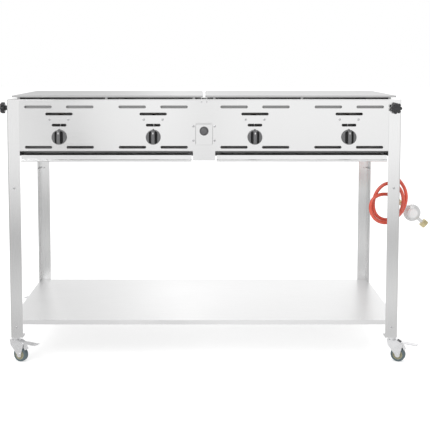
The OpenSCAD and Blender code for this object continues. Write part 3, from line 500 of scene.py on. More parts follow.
class GrillHose(bpy.types.PropertyGroup):
    """Gas hose"""

    diameter: length("Diameter", "Outside diameter of the hose", 0.012, 0.004)
    rubber: colour("Rubber", "Colour of the hose", (0.84, 0.11, 0.06))
    casting: colour("Casting", "Colour of the regulator and the valves", (0.90, 0.90, 0.90))
    cap: colour("Cap", "Colour of the regulator's cap", (0.98, 0.98, 0.98))


class GrillMetal(bpy.types.PropertyGroup):
    """Sheet metal, plates and pipes"""

    steel: colour("Steel", "Colour of the brushed steel", (0.84, 0.84, 0.84))
    shelf: colour("Shelf", "Colour of the shelf", (0.92, 0.92, 0.92))
    plate: colour("Plates", "Colour of the cooking plates", (0.56, 0.56, 0.56))
    tray: colour("Trays", "Colour of the drip trays", (0.92, 0.92, 0.92))
    inside: colour("Fire boxes", "Colour of the steel round the burners", (0.44, 0.44, 0.44))
    burner: colour("Burners", "Colour of the burner tubes", (0.34, 0.33, 0.32))
    pipe: colour("Pipes", "Colour of the zinc-plated pipes", (0.62, 0.62, 0.63))
    brass: colour("Brass", "Colour of the spindles, the inlet and the nuts", (0.80, 0.70, 0.42))
    screw: colour("Screws", "Colour of the screws", (0.72, 0.72, 0.73))


class GrillControls(bpy.types.PropertyGroup):
    """Knobs and igniter"""

    knob: colour("Knobs", "Colour of the control knobs", (0.16, 0.16, 0.165))
    # The mark's white is partly a pointer mark and partly a painted highlight on the grip.
    mark: colour("Mark", "Colour of the pointer's mark", (0.95, 0.95, 0.95))
    star: colour("Star knobs", "Colour of the star knobs", (0.035, 0.035, 0.038))
    igniter: colour("Igniter", "Colour of the igniter", (0.13, 0.13, 0.135))
    lobes: bpy.props.IntProperty(
        name="Lobes", description="Number of lobes of a star knob", default=7, min=3, max=12
    )


class GrillCastors(bpy.types.PropertyGroup):
    """Castors"""

    tyre: colour("Tyres", "Colour of the tyres", (0.12, 0.16, 0.175))
    hub: colour("Hubs", "Colour of the hubs", (0.46, 0.44, 0.30))
    zinc: colour("Forks", "Colour of the zinc-plated forks", (0.90, 0.90, 0.91))


SETTINGS = {
    "grill_stage": GrillStage,
    "grill_hose": GrillHose,
    "grill_metal": GrillMetal,
    "grill_controls": GrillControls,
    "grill_castors": GrillCastors,
}


# ---------------------------------------------------------------- stage


# What reflections see, as (place, level) stops. FRONT and BACK run over x / |y| of the way
# they look, on the near and far side of the grill; FLOOR runs over the distance |y|.
FRONT = ((-1.60, 0.70), (-0.45, 0.98), (-0.30, 1.08), (-0.225, 1.00), (-0.205, 0.45),
         (-0.188, 0.45), (-0.170, 1.02), (-0.04, 1.10), (0.0, 0.96), (0.04, 1.08),
         (0.45, 1.06), (1.60, 0.76))
BACK = ((-1.60, 0.76), (-0.30, 0.98), (-0.14, 0.84), (-0.07, 1.0), (-0.025, 1.48),
        (0.02, 1.10), (0.30, 1.12), (1.60, 0.78))
FLOOR = ((0.0, 1.10), (0.48, 1.04), (0.60, 0.78), (0.8, 0.78), (1.1, 0.82), (1.7, 0.72),
         (2.3, 0.58), (2.7, 0.58), (3.4, 0.72), (4.8, 0.88), (7.0, 1.02), (13.0, 1.02))
# Heights of the way they look, between which FRONT and BACK dim to the overhead level.
FRONT_DIMS, BACK_DIMS = (0.12, 0.55), (0.30, 0.95)
# Each lamp's name, place, aim and size.
KEY_LAMP = ("key_lamp", (-2.2, -3.0, 3.0), (0, 0, 0.6), 2.4)
TOP_LAMP = ("top_lamp", (0.6, 0.4, 3.4), (0, 0, 0.5), 3.0)


def curve(tree, socket, stops):
    """Level along a row of (place, level) stops, for the place the socket gives."""
    low, high, top = stops[0][0], stops[-1][0], max(level for place, level in stops)
    made = add_node(tree, "ShaderNodeValToRGB")
    tree.links.new(ranged(tree, socket, low, high, 0, 1), made.inputs[0])
    ramp = made.color_ramp
    ramp.elements.remove(ramp.elements[0])
    ramp.elements[0].position = 0
    for k, (place, level) in enumerate(stops):
        stop = ramp.elements.new((place - low) / (high - low)) if k else ramp.elements[0]
        stop.color = (level / top, level / top, level / top, 1)
    return maths(tree, "MULTIPLY", made.outputs[0], top)


def place_parts(tree, source):
    """The x, y and z sockets of a texture coordinate."""
    place = add_node(tree, "ShaderNodeTexCoord")
    parts = add_node(tree, "ShaderNodeSeparateXYZ")
    tree.links.new(place.outputs[source], parts.inputs[0])
    return parts.outputs


class GRILL_OT_stage(bpy.types.Operator):
    """Set the camera, the floor and the light"""

    bl_idname = "grill.stage"
    bl_label = "Stage"

    def execute(self, context):
        s = context.scene.grill_stage
        self.camera(context, s)
        self.world(context, s)
        self.floor(s)
        self.lamps(s)
        context.scene.view_settings.view_transform = "Standard"
        return {"FINISHED"}

    def camera(self, context, s):
        """A camera in front of the grill, tilted a little down."""
        data = bpy.data.cameras.new("camera")
        data.lens, data.sensor_width = s.lens, 36.0
        data.shift_x, data.shift_y = s.shift
        data.clip_start, data.clip_end = 0.05, 200.0
        camera = bpy.data.objects.new("camera", data)
        camera.location = s.camera_at
        camera.rotation_euler = (math.pi / 2 - s.camera_down, 0, 0)
        context.scene.collection.objects.link(camera)
        context.scene.camera = camera

    def world(self, context, s):
        """White to the camera, FRONT and BACK in reflections, and a softer white as light."""
        world = bpy.data.worlds.new("surround")
        context.scene.world = world
        world.use_nodes = True
        tree = world.node_tree
        tree.nodes.clear()
        seen = add_node(tree, "ShaderNodeBackground", in_Color=(1, 1, 1, 1))
        lit = add_node(tree, "ShaderNodeBackground", in_Color=(1, 1, 1, 1), in_Strength=s.surround)
        ray = add_node(tree, "ShaderNodeLightPath").outputs
        either = ray["Is Camera Ray"]
        for other in ("Is Glossy Ray", "Is Transmission Ray"):
            either = maths(tree, "MAXIMUM", either, ray[other])
        x, y, z = place_parts(tree, "Generated")
        side = maths(tree, "DIVIDE", x, maths(tree, "ABSOLUTE", y))
        behind = maths(tree, "GREATER_THAN", y, 0.0)
        front, back = (
            maths(tree, "MULTIPLY", curve(tree, side, row),
                  ranged(tree, z, *dims, 1.0, s.overhead))
            for row, dims in ((FRONT, FRONT_DIMS), (BACK, BACK_DIMS))
        )
        level = mixed(tree, behind, front, back)
        shown = mixed(tree, ray["Is Camera Ray"], level, (1, 1, 1))
        tree.links.new(shown, seen.inputs["Strength"])
        mix = add_node(tree, "ShaderNodeMixShader")
        out = add_node(tree, "ShaderNodeOutputWorld")
        tree.links.new(either, mix.inputs[0])
        tree.links.new(lit.outputs[0], mix.inputs[1])
        tree.links.new(seen.outputs[0], mix.inputs[2])
        tree.links.new(mix.outputs[0], out.inputs[0])

    def floor(self, s):
        """Square sheet at height 0 that keeps the grill's shadow, with FLOOR in reflections."""
        corners = s.floor_size / 2 * np.array([[-1, -1, 0], [1, -1, 0], [1, 1, 0], [-1, 1, 0]])
        mesh = bpy.data.meshes.new("floor")
        mesh.from_pydata(corners, [], [(0, 1, 2, 3)])
        floor = bpy.data.objects.new("floor", mesh)
        bpy.context.scene.collection.objects.link(floor)
        material, tree, shader = new_material("floor_white")
        base = mixed(tree, noise(tree, 0.8), *shades(s.floor_colour, 0.01))
        tree.links.new(base, shader.inputs["Base Color"])
        shader.inputs["Roughness"].default_value = 0.9
        shader.inputs["Specular IOR Level"].default_value = 0.0
        glow = add_node(tree, "ShaderNodeEmission", in_Color=(1, 1, 1, 1))
        ray = add_node(tree, "ShaderNodeLightPath")
        both = add_node(tree, "ShaderNodeAddShader")
        out = next(n for n in tree.nodes if n.type == "OUTPUT_MATERIAL")
        lift = maths(tree, "MULTIPLY", ray.outputs["Is Camera Ray"], s.lift)
        tree.links.new(lift, glow.inputs["Strength"])
        tree.links.new(shader.outputs[0], both.inputs[0])
        tree.links.new(glow.outputs[0], both.inputs[1])
        x, y = place_parts(tree, "Object")[:2]
        away = maths(tree, "ABSOLUTE", y)
        level = maths(tree, "MULTIPLY", curve(tree, away, FLOOR),
                      curve(tree, maths(tree, "DIVIDE", x, away), FRONT))
        mirrored = add_node(tree, "ShaderNodeEmission", in_Color=(1, 1, 1, 1))
        tree.links.new(level, mirrored.inputs["Strength"])
        mix = add_node(tree, "ShaderNodeMixShader")
        tree.links.new(ray.outputs["Is Glossy Ray"], mix.inputs[0])
        tree.links.new(both.outputs[0], mix.inputs[1])
        tree.links.new(mirrored.outputs[0], mix.inputs[2])
        tree.links.new(mix.outputs[0], out.inputs["Surface"])
        mesh.materials.append(material)

    def lamps(self, s):
        """Two large round lamps, turned to their aims."""
        for (name, at, aim, size), power in ((KEY_LAMP, s.key), (TOP_LAMP, s.top)):
            data = bpy.data.lights.new(name, "AREA")
            data.shape, data.size, data.energy = "DISK", size, power
            lamp = bpy.data.objects.new(name, data)
            bpy.context.scene.collection.objects.link(lamp)
            lamp.location = at
            way = Vector(aim) - Vector(at)
            lamp.rotation_euler = way.to_track_quat("-Z", "Y").to_euler()


# ---------------------------------------------------------------- hose and regulator

HOSE_ROUTE = MM * np.array([
    [649, -275, 690], [649, -275, 676], [651, -268, 661], [660, -254, 647], [673, -245, 633],
    [688, -241, 617], [700, -240, 598], [706, -240, 575], [705, -240, 550], [697, -241, 526],
    [683, -242, 504], [663, -243, 491], [640, -244, 487], [616, -245, 491], [598, -246, 507],
    [590, -247, 530], [590, -247, 556], [598, -248, 582], [613, -249, 604], [635, -250, 618],
    [658, -252, 617], [676, -253, 605], [688, -254, 585], [693, -254, 560], [690, -254, 535],
    [681, -254, 511], [665, -254, 491], [644, -256, 480], [620, -257, 479], [598, -258, 489],
    [583, -258, 508], [577, -258, 533], [581, -258, 556], [594, -258, 572], [613, -255, 579],
    [634, -248, 579], [652, -236, 574], [667, -224, 565], [683.2, -216, 551.5],
])
REGULATOR_AT = np.array([0.732, -0.216, 0.508])
REGULATOR_TILT = math.radians(42)
REGULATOR_AXIS = np.array([math.cos(REGULATOR_TILT), 0, -math.sin(REGULATOR_TILT)])


def hose_route():
    """Route of the hose: from the inlet down behind the leg, twice round, and back behind the
    leg to the regulator's nut. It is the smooth curve through its points, eased by a running
    mean and laid out again at equal steps."""
    line = evenly(through(HOSE_ROUTE, 10), 420)
    return eased(evenly(eased(line, 17), 360), 9)


REGULATOR = np.array([
    [0, -17], [15, -17], [15, -16], [24, -12.4], [25.4, -4], [25.8, -3], [29.4, -3], [30, -2.4],
    [30, -0.5], [29.5, 0], [30, 0.5], [30, 2.4], [29.4, 3], [27.2, 3], [26.6, 4], [25.2, 11.5],
    [24, 12.6], [22.4, 12.6], [21.8, 13.6], [20.6, 16], [18.6, 17], [0, 17],
])
REGULATOR_CAP = np.array([
    [0, 16.5], [15, 16.5], [15, 20.2], [14.2, 21], [11.4, 21], [10.6, 20.2], [2.4, 20.2],
    [1.8, 19.4], [0, 19.4],
])
# Along the tilted axis: the stem to the bottle, the neck, the hose's nut and its ferrule.
STEM = [[0, 20], [5.5, 20], [5.5, 51.3], [8, 51.3], [8, 54], [0, 54]]
NECK = [[0, -38.4], [7, -38.4], [7, -22], [0, -22]]
HOSE_NUT = [[0, -56], [7.8, -56], [9.81, -54.4], [9.81, -39.6], [7.8, -38], [0, -38]]
HOSE_NUT_FLATS, HOSE_NUT_CORNER = 17, 9.81
FERRULE, FERRULE_RADIUS, FERRULE_PITCH, RIDGE = (-65.5, -57), 7.1, 2.1, 0.35
# The bottle nut, from 48 to 65 along the same axis.
BOTTLE_NUT_FLATS, BOTTLE_NUT_CORNER, BORE_RADIUS, BORE_PITCH = 27, 15.59, 10.7, 1.8


def ridged(low, high, count, radius, height, pitch):
    """Profile from low to high, at radius + height cos(2 pi z / pitch)."""
    z = np.linspace(low, high, count)
    return np.stack([radius + height * np.cos(2 * math.pi * z / pitch), z], -1)


def regulator_shell(materials):
    """Regulator: a lathed body whose axis points forward, its cap, and along the tilted axis a
    stem with a collar towards the bottle and a nut and a ferrule towards the hose."""
    body = Shell("regulator_body")
    side = dict(origin=REGULATOR_AT, axis=(0, -1, 0), up=-REGULATOR_AXIS)
    line = dict(origin=REGULATOR_AT, axis=REGULATOR_AXIS, up=(0, 1, 0))
    body.add(placed(lathe(rounded(REGULATOR, 1.2), 72), **side))
    body.add(placed(lathe(rounded(REGULATOR_CAP, 0.8), 72), **side), slot=1)
    body.add(placed(lathe(rounded(STEM, 0.5), 32), **line))
    ferrule = ridged(*FERRULE, 35, FERRULE_RADIUS, RIDGE, FERRULE_PITCH)
    ferrule = np.vstack([[0, -66], [6.6, -66], ferrule, [7, -56], [0, -56]])
    body.add(placed(lathe(ferrule, 32), **line), slot=2)
    flat = [False, False, True, True, True, False]
    hexagon = nut(HOSE_NUT, flat, HOSE_NUT_FLATS, HOSE_NUT_CORNER)
    body.add(placed(hexagon, **line), slot=2)
    body.add(placed(lathe(rounded(NECK, 0.5), 32), **line))
    return body.make(materials)


class GRILL_OT_hose(bpy.types.Operator):
    """Make the gas hose, wound behind the front right leg, and the regulator on its end"""

    bl_idname = "grill.hose"
    bl_label = "Gas hose and regulator"

    def execute(self, context):
        s, m = context.scene.grill_hose, context.scene.grill_metal
        route = hose_route()
        rubber = moulded("hose_rubber", s.rubber, 0.24, grain=400.0, tone=0.10, bump=0.06,
                         cloud=30.0, coat=0.35, specular=0.7)
        hose = Shell("gas_hose_line").add(tube(route, s.diameter / 2, 24), cap=True)
        hose = hose.make([rubber], 60)
        belongs(hose, "frame", "hose_rubber", "gas_hose", "gas_hose_coil")
        alloy = metal("cast_alloy", s.casting, 0.45, (1, 1, 1), 500.0, 0.05, 30.0, 0.05, bump=0.3)
        cap = moulded("cap_plastic", s.cap, 0.4, tone=0.03)
        brass = metal("brass", m.brass, 0.32, (1, 1, 1), 700.0, 0.04, 25.0, 0.04)
        body = regulator_shell([alloy, cap, brass])
        belongs(body, "frame", "cast_aluminium", "regulator")
        turning = belongs(self.bottle_nut(brass), "bottle_nut", "brass", "bottle_nut")
        return {"FINISHED"}

    def bottle_nut(self, brass):
        """A chamfered hexagon of revolution: out over the flats, and back in along the ridged
        bore."""
        bore = ridged(64.2, 54.6, 50, BORE_RADIUS, RIDGE, BORE_PITCH)
        outer = [[13.2, 48], [15.59, 49.6], [15.59, 63.4], [13.2, 65], [11.4, 65]]
        inner = [[10.6, 54.2], [8.3, 54.2], [8.3, 51.1], [5.6, 51.1], [5.6, 48], [13.2, 48]]
        profile = np.vstack([outer, bore, inner])
        grid = nut(profile, profile[:, 0] > 15, BOTTLE_NUT_FLATS, BOTTLE_NUT_CORNER)
        piece = Shell("bottle_nut_hexagon")
        piece.add(placed(grid, REGULATOR_AT, REGULATOR_AXIS, (0, 1, 0)))
        return piece.make([brass], 25)


# ---------------------------------------------------------------- sheet metal


# The igniter's cover plate: its hole, how square its corners are, and its sloped edge.
COVER_HOLE, COVER_CORNERS = 13.1, 14
SLOPE_SIDE, SLOPE_TOP, SLOPE_BOTTOM, EDGE_HEIGHT = 2.2, 7.0, 1.0, 0.1


class GRILL_OT_sheet_metal(bpy.types.Operator):
    """Finish the panels, legs, shelf, plates, trays and fire boxes, and make the igniter's
    cover plate"""

    bl_idname = "grill.sheet_metal"
    bl_label = "Sheet metal"

    def execute(self, context):
        s = context.scene.grill_metal
        along_x, along_y, along_z = (0.02, 1, 1), (1, 0.02, 1), (1, 1, 0.02)
        panel = metal("panel_steel", s.steel, 0.16, along_x, 900.0, 0.03, bump=0.05, brushed="X")
        side = metal("end_steel", s.steel, 0.16, along_y, 900.0, 0.03, bump=0.05, brushed="Y")
        leg = metal("leg_steel", s.steel, 0.18, along_z, 900.0, 0.035, bump=0.05, brushed="Z")
        shelf = metal("shelf_steel", s.shelf, 0.34, along_x, 900.0, 0.03)
        for node in ("front_panel", "back_panel", "centre_spine"):
            dress(node, panel)
        belongs(self.cover(panel), "frame", "stainless", "centre_cover")
        dress("bottom_shelf", shelf)
        for node in ("end_panel_left", "end_panel_right"):
            dress(node, side)
        for place in PLACES:
            dress("leg_" + place, leg)
        plate = metal("plate_steel", s.plate, 0.33, (1, 1, 1), 260.0, 0.05, 4.0, 0.05)
        tray = metal("tray_steel", s.tray, 0.20, along_x, 900.0, 0.02, bump=0.05, brushed="X")
        box = metal("box_steel", s.inside, 0.52, (1, 1, 0.05), 500.0, 0.08, 6.0, 0.12)
        for hand in ("left", "right"):
            dress("cooking_plate_" + hand, plate)
            dress("drip_tray_" + hand, tray)
            dress("fire_box_" + hand, box)
            dress("partition_" + hand, box)
        return {"FINISHED"}

    def cover(self, steel):
        """Plate round the igniter with a sloped top edge. Each of its rings goes once round,
        and the plate runs from the hole to the outline |x / half|^14 + |y / tall|^14 = 1. The
        sloped band lies between the outline and the same outline drawn in at the sides and
        the top."""
        low, high = (np.array(corner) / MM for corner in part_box("centre_cover"))
        hole = middle("igniter_button") / MM
        half, tall = (high[0] - low[0]) / 2, (high[2] - low[2]) / 2
        t = np.linspace(0, 2 * math.pi, 96, endpoint=False)
        power = np.abs(np.cos(t)) ** COVER_CORNERS + np.abs(np.sin(t)) ** COVER_CORNERS
        power = power ** (-1 / COVER_CORNERS)
        ring = np.stack([half * power * np.cos(t), tall * power * np.sin(t)], -1)
        tighter = (tall - (SLOPE_TOP + SLOPE_BOTTOM) / 2) / tall
        drawn = ring * ((half - SLOPE_SIDE) / half, tighter)
        drawn = drawn - (0, (SLOPE_TOP - SLOPE_BOTTOM) / 2)
        offset = hole[[0, 2]] - (low[[0, 2]] + high[[0, 2]]) / 2
        inner = COVER_HOLE * unit(ring - offset) + offset
        deep = high[1] - low[1]
        rows = [(inner, 0), (inner, deep), (drawn, deep), (ring, EDGE_HEIGHT), (ring, 0)]
        grid = np.stack([np.c_[xy, np.full(len(t), z)] for xy, z in rows + rows[:1]])
        centre = MM * np.array([(low[0] + high[0]) / 2, high[1], (low[2] + high[2]) / 2])
        return Shell("igniter_cover").add(placed(grid, centre, (0, -1, 0))).make([steel], 8)


# Screws and rivets on the front panel as (distance from the middle of what they hold, height),
# and the heights of those on the legs.
VALVE_SCREW = (0.032, 0.842)
COVER_SCREWS = ((0.036, 0.819), (0.036, 0.770))
SPINE_RIVET = (0.0086, 0.902)
LEG_SCREW_HEIGHTS = (0.607, 0.121)
HEAD_RADIUS, DOME_RADIUS, DOME_SUNK, CROSS_DEPTH = 4.0, 6.4, 4.0, 1.1


class GRILL_OT_gas_line(bpy.types.Operator):
    """Finish the burners, the manifold, the valves and the igniter's electrodes, and make the
    screws and rivets"""

    bl_idname = "grill.gas_line"
    bl_label = "Gas line"

    def execute(self, context):
        s = context.scene.grill_metal
        burner = metal("burner_steel", s.burner, 0.48, (1, 0.05, 1), 500.0, 0.08, 9.0, 0.12,
                       tint=(1.0, 0.95, 0.88))
        pipe = metal("pipe_steel", s.pipe, 0.36, (0.05, 1, 1), 500.0, 0.05, 20.0, 0.05)
        brass = bpy.data.materials["brass"]
        for n in BURNERS:
            dress("burner_%d" % n, burner)
            dress("valve_spindle_%d" % n, brass)
        dress("gas_manifold", pipe)
        dress("inlet_fitting", brass)
        dress("gas_valves", bpy.data.materials["cast_alloy"])
        dress("igniter_electrodes", moulded("ceramic_glaze", (0.82, 0.80, 0.74), 0.3, tone=0.04))
        screw = metal("screw_steel", s.screw, 0.35, (1, 1, 1), 900.0, 0.05, 60.0, 0.06)
        dress("hose_clip", screw)
        belongs(self.screws(screw), "frame", "screw_steel", "pan_screws")
        belongs(self.rivets(screw), "frame", "screw_steel")
        return {"FINISHED"}

    def screws(self, screw):
        """Every pan head is a dome sqrt(R^2 - r^2) over a disc, less a cross recess where
        either |x| or |y| is small, on a plain shank."""

        def head(x, y):
            arm = np.minimum(np.abs(x), np.abs(y))
            end = np.maximum(np.abs(x), np.abs(y))
            sunk = (1 - soft_step(arm, 0.35, 0.75)) * (1 - soft_step(end, 1.7, 2.2))
            return np.sqrt(DOME_RADIUS ** 2 - x ** 2 - y ** 2) - DOME_SUNK - CROSS_DEPTH * sunk

        dome = raised_disc(HEAD_RADIUS, 14, 0.3, lambda a: HEAD_RADIUS + 0 * a, head)
        shank = lathe([[0, -10], [1.4, -10], [2, -9.2], [2, 0], [0, 0]], 12)
        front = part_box("front_panel")[0][1]
        held = [(x, VALVE_SCREW) for x in BURNER_X] + [(0, at) for at in COVER_SCREWS]
        places = [
            ((x + k * out, front, z), (0, -1, 0)) for x, (out, z) in held for k in (-1, 1)
        ]
        for place in PLACES:
            low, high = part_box("leg_" + place)
            sx, sy = ("right" in place) * 2 - 1, ("back" in place) * 2 - 1
            face = np.where(np.array([sx, sy, 0]) > 0, high, low)
            for z in LEG_SCREW_HEIGHTS:
                places.append(((face[0] - sx * LEG_MIDDLE, face[1], z), (0, sy, 0)))
                places.append(((face[0], face[1] - sy * LEG_MIDDLE, z), (sx, 0, 0)))
        heads = Shell("pan_head_screws")
        for at, axis in places:
            heads.add(placed(dome, at, axis), sheet=True)
            heads.add(placed(shank, at, axis))
        return heads.make([screw], 40)

    def rivets(self, screw):
        """Two low domes on the front panel, over the spine."""
        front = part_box("front_panel")[0][1]
        pair = Shell("spine_rivets")
        dome = lathe(rounded([[0, -1], [2.6, -1], [2.6, 0.2], [1.8, 1.0], [0, 1.2]], 0.5), 20)
        out, z = SPINE_RIVET
        for k in (-1, 1):
            pair.add(placed(dome, (k * out, front, z), (0, -1, 0)))
        return pair.make([screw])


# ---------------------------------------------------------------- knobs and igniter


KNOB_R, KNOB_HEIGHT, KNOB_SKIRT, GRIP_HALF, TROUGH_DEPTH = 25.0, 22.0, 8.8, 6.5, 5.2
# The white strip is partly a pointer mark and partly a painted highlight, sized to the bright spot
# on the grip.
MARK_HALF, MARK_LENGTH_HALF, MARK_AT, MARK_SUNK = 1.4, 4.8, 13.5, 0.1
# Painted shade: the share of the knob's colour given to the faces in the troughs beside the grip.
TROUGH_PAINTED_SHADE = 0.24
BEZEL = np.array([
    [11.1, 2.4], [11.9, 3], [15, 3], [15.5, 2.4], [15.5, 0], [13, 0], [13, -4.5], [17, -4.5],
    [17, -8.5], [13, -8.5], [13, -40], [11.1, -40], [11.1, 2.4],
])
BUTTON = np.array([[0, -27], [11, -27], [11, 5.2], [10.2, 6.2], [8, 7.2], [4, 7.9], [0, 8]])
STAR_TIP, STAR_LOBE, STUD_RADIUS, STUD_PITCH, STUD_RIDGE = 19.5, 6.0, 3.8, 1.25, 0.2
# Stations of the star knob's head: radius as a share of the lobes' tips, and height.
STAR = np.array([
    [0.41, 0.3], [0.41, 9.6], [0.60, 10.3], [0.93, 10.3], [1, 12], [1, 20.5], [0.95, 23],
    [0.82, 24.8], [0.58, 25.3], [0.46, 25.3], [0.42, 24.5], [0, 24.5],
])


def knob_outline(a):
    """Radius 25, with a nose at the top: the ray at angle d from the top meets either the
    nose's blunt end, 27.5 / cos d, or its flank, 147.25 / (6.5 sin d + 5 cos d)."""
    d = np.abs((a - math.pi / 2 + math.pi) % (2 * math.pi) - math.pi)
    flank = 147.25 / (6.5 * np.sin(np.minimum(d, 0.3)) + 5 * np.cos(np.minimum(d, 0.3)))
    nose = np.minimum(27.5 / np.cos(np.minimum(d, 0.3)), flank)
    return np.where(d < 0.3, np.maximum(KNOB_R, nose), KNOB_R)


def knob_height(x, y):
    """A rounded grip across a skirt with a trough on each side of it: the trough is a product
    of two soft steps of |x|, and the grip rises through another."""
    r, out = np.hypot(x, y), np.abs(x) - GRIP_HALF
    trough = soft_step(out, -1, 1) * (1 - soft_step(out, 4, 8.5)) * (1 - soft_step(r, 20, 23))
    skirt = KNOB_SKIRT - TROUGH_DEPTH * trough - 3.6 * soft_step(r, 22.6, KNOB_R) ** 2
    grip = 1 - soft_step(np.abs(x), GRIP_HALF - 1.4, GRIP_HALF + 1.6)
    grip = grip * (1 - soft_step(r, 21.4, 23.8))
    top = KNOB_HEIGHT - 0.045 * x ** 2 - 0.006 * y ** 2
    return skirt + grip * (top - skirt)


class GRILL_OT_controls(bpy.types.Operator):
    """Make the control knobs, the igniter and the star knobs"""

    bl_idname = "grill.controls"
    bl_label = "Controls"

    def execute(self, context):
        s = context.scene.grill_controls
        knob = moulded("knob_plastic", s.knob, 0.36, tone=0.08)
        # White of the strip: partly pointer paint and partly a painted highlight.
        mark = moulded("pointer_mark_and_painted_highlight", s.mark, 0.5, tone=0.02)
        # Painted shade: a darker copy of the knob plastic, laid on the troughs beside the grip.
        shade = moulded("knob_trough", [c * TROUGH_PAINTED_SHADE for c in s.knob], 0.45, tone=0.08,
                        specular=0.3)
        face = raised_disc(KNOB_R, 48, 0.25, knob_outline, knob_height)
        heart = (face[:-1, :-1] + face[1:, 1:]) / 2
        out = np.abs(heart[..., 0]) - GRIP_HALF
        # Faces in the troughs beside the grip take slot 2, the painted shade.
        deep = (out > -0.9) & (out < 6.6) & (np.hypot(heart[..., 0], heart[..., 1]) < 22.6)
        deep = np.where(deep, 2, 0).ravel()
        strip = raised_disc(1.0, 6, 0.3, lambda a: 1 + 0 * a, lambda x, y: 0.35 + 0 * x)
        strip = strip * (MARK_HALF, MARK_LENGTH_HALF, 1)
        strip = strip + (0, MARK_AT, knob_height(0.0, MARK_AT) - MARK_SUNK)
        for n in BURNERS:
            at = JOINTS["control_knob_%d_turn" % n]["pos_m"]
            at = (at[0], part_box("control_knob_%d" % n)[1][1], at[2])
            piece = Shell("burner_knob_%d" % n)
            piece.add(placed(face, at, (0, -1, 0)), sheet=True, slot=deep)
            piece.add(placed(strip, at, (0, -1, 0)), sheet=True, slot=1)
            piece = piece.make([knob, mark, shade], 50)
            belongs(piece, "knob_%d" % n, "black_plastic", "control_knob_%d" % n)
        self.igniter(moulded("igniter_plastic", s.igniter, 0.22, tone=0.08))
        self.stars(s)
        return {"FINISHED"}

    def igniter(self, plastic):
        """Bezel and button, both turned round the push's axis."""
        at = middle("igniter_button")
        at[1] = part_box("centre_cover")[0][1]
        for name, body, profile, node in (
            ("igniter_bezel", "frame", BEZEL, "igniter_body"),
            ("igniter_cap", "button", BUTTON, "igniter_button"),
        ):
            turned = Shell(name).add(placed(lathe(rounded(profile, 0.5), 64), at, (0, -1, 0)))
            belongs(turned.make([plastic]), body, "black_plastic", node)

    def stars(self, s):
        """Head whose stations follow the lobed outline at its height and a circle at the neck
        and the middle, on a stud with a ridged side."""
        plastic = moulded("star_plastic", s.star, 0.28, tone=0.10)
        stud_metal = bpy.data.materials["screw_steel"]
        lobed = (np.abs(STAR[:, 1] - 17) < 7.9)[:, None]
        head = lathe(STAR * (STAR_TIP, 1), 12 * s.lobes, lambda k, a: np.where(
            lobed[k[:, 0]], star_radius(a, s.lobes, STAR_TIP, STAR_LOBE) / STAR_TIP, 1.0))
        thread = ridged(-15.6, 0, 63, STUD_RADIUS, STUD_RIDGE, STUD_PITCH)
        stud = np.vstack([[0, -16], [3.2, -16], thread, [STUD_RADIUS, 2], [0, 2]])
        stud = lathe(stud, 24)
        for place in PLACES:
            joint = JOINTS["star_knob_%s_turn" % place]
            where = dict(origin=joint["pos_m"], axis=joint["axis"])
            piece = Shell("star_grip_" + place)
            piece.add(placed(head, **where)).add(placed(stud, **where), slot=1)
            piece = piece.make([plastic, stud_metal], 50)
            belongs(piece, "star_" + place, "black_plastic", "star_knob_" + place)


# ---------------------------------------------------------------- castors


TYRE = np.array([
    [17, -9.2], [17.8, -10], [21.6, -10], [24.2, -8.6], [25, -6.6], [25, -0.4], [24.7, 0],
    [25, 0.4], [25, 6.6], [24.2, 8.6], [21.6, 10], [17.8, 10], [17, 9.2], [17, -9.2],
])
HUB = np.array([
    [4.05, -9.8], [7.2, -9.8], [8, -9], [8.6, -5.6], [14.2, -5.2], [15.2, -8.6], [17.1, -9],
    [17.1, 9], [15.2, 8.6], [14.2, 5.2], [8.6, 5.6], [8, 9], [7.2, 9.8], [4.05, 9.8],
    [4.05, -9.8],
])
RIBS, RIB_HEIGHT, DISH_MIDDLE, DISH_HALF, DISH_DEPTH = 6, 1.6, 11.4, 3.0, 6.0


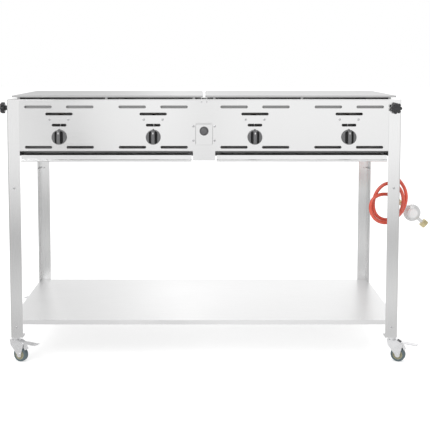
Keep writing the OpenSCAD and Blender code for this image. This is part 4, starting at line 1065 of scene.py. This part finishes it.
class GRILL_OT_castors(bpy.types.Operator):
    """Make the wheels and finish the forks and brakes"""

    bl_idname = "grill.castors"
    bl_label = "Castors"

    def execute(self, context):
        s = context.scene.grill_castors
        zinc = metal("zinc_steel", s.zinc, 0.28, (1, 1, 1), 500.0, 0.03, 40.0, 0.04,
                     crystals=140.0)
        dress("castor_stems", zinc)
        rubber = moulded("tyre_rubber", s.tyre, 0.55, tone=0.08)
        resin = moulded("hub_resin", s.hub, 0.45, tone=0.06)
        hub = self.ribbed(lathe(HUB, 120))
        tyre = lathe(rounded(TYRE, 0.6), 96)
        for place in PLACES:
            dress("castor_fork_" + place, zinc)
            dress("castor_brake_" + place, zinc)
            joint = JOINTS["castor_%s_roll" % place]
            where = dict(origin=joint["pos_m"], axis=joint["axis"])
            wheel = Shell("wheel_" + place)
            wheel.add(placed(tyre, **where)).add(placed(hub, **where), slot=1)
            wheel = wheel.make([rubber, resin], 40)
            belongs(wheel, "wheel_" + place, "wheel_rubber", "castor_wheel_" + place)
        return {"FINISHED"}

    def ribbed(self, hub):
        """The dish of the hub, pushed out by the ribs' height times a soft step of the cosine
        of the ribs' number times the angle."""
        r = np.hypot(hub[..., 0], hub[..., 1])
        a = np.arctan2(hub[..., 1], hub[..., 0])
        dish = (np.abs(r - DISH_MIDDLE) < DISH_HALF) * (np.abs(hub[..., 2]) < DISH_DEPTH)
        rib = soft_step(np.cos(RIBS * a), 0.80, 0.98)
        hub[..., 2] += np.sign(hub[..., 2]) * RIB_HEIGHT * dish * rib
        return hub


OPERATORS = (
    GRILL_OT_stage,
    GRILL_OT_hose,
    GRILL_OT_gas_line,
    GRILL_OT_sheet_metal,
    GRILL_OT_controls,
    GRILL_OT_castors,
)


class GRILL_PT_panel(bpy.types.Panel):
    """Lists the grill's pieces and their settings"""

    bl_idname = "GRILL_PT_panel"
    bl_label = "Gas barbecue grill"
    bl_space_type = "VIEW_3D"
    bl_region_type = "UI"
    bl_category = "Grill"

    def draw(self, context):
        for settings in SETTINGS:
            box = self.layout.box()
            group = getattr(context.scene, settings)
            for key in group.bl_rna.properties.keys():
                if key not in ("rna_type", "name"):
                    box.prop(group, key)
        for operator in OPERATORS:
            self.layout.operator(operator.bl_idname)


CLASSES = (*SETTINGS.values(), *OPERATORS, GRILL_PT_panel)


def register():
    """Makes the classes known and puts the settings on the scene."""
    for cls in CLASSES:
        bpy.utils.register_class(cls)
    for name, group in SETTINGS.items():
        setattr(bpy.types.Scene, name, bpy.props.PointerProperty(type=group))


def unregister():
    """Takes the settings and the classes away again."""
    for name in SETTINGS:
        delattr(bpy.types.Scene, name)
    for cls in reversed(CLASSES):
        bpy.utils.unregister_class(cls)


def main():
    """Dresses the frame."""
    register()
    bpy.ops.grill.stage()
    bpy.ops.grill.hose()
    bpy.ops.grill.gas_line()
    bpy.ops.grill.sheet_metal()
    bpy.ops.grill.controls()
    bpy.ops.grill.castors()


if __name__ == "__main__":
    main()
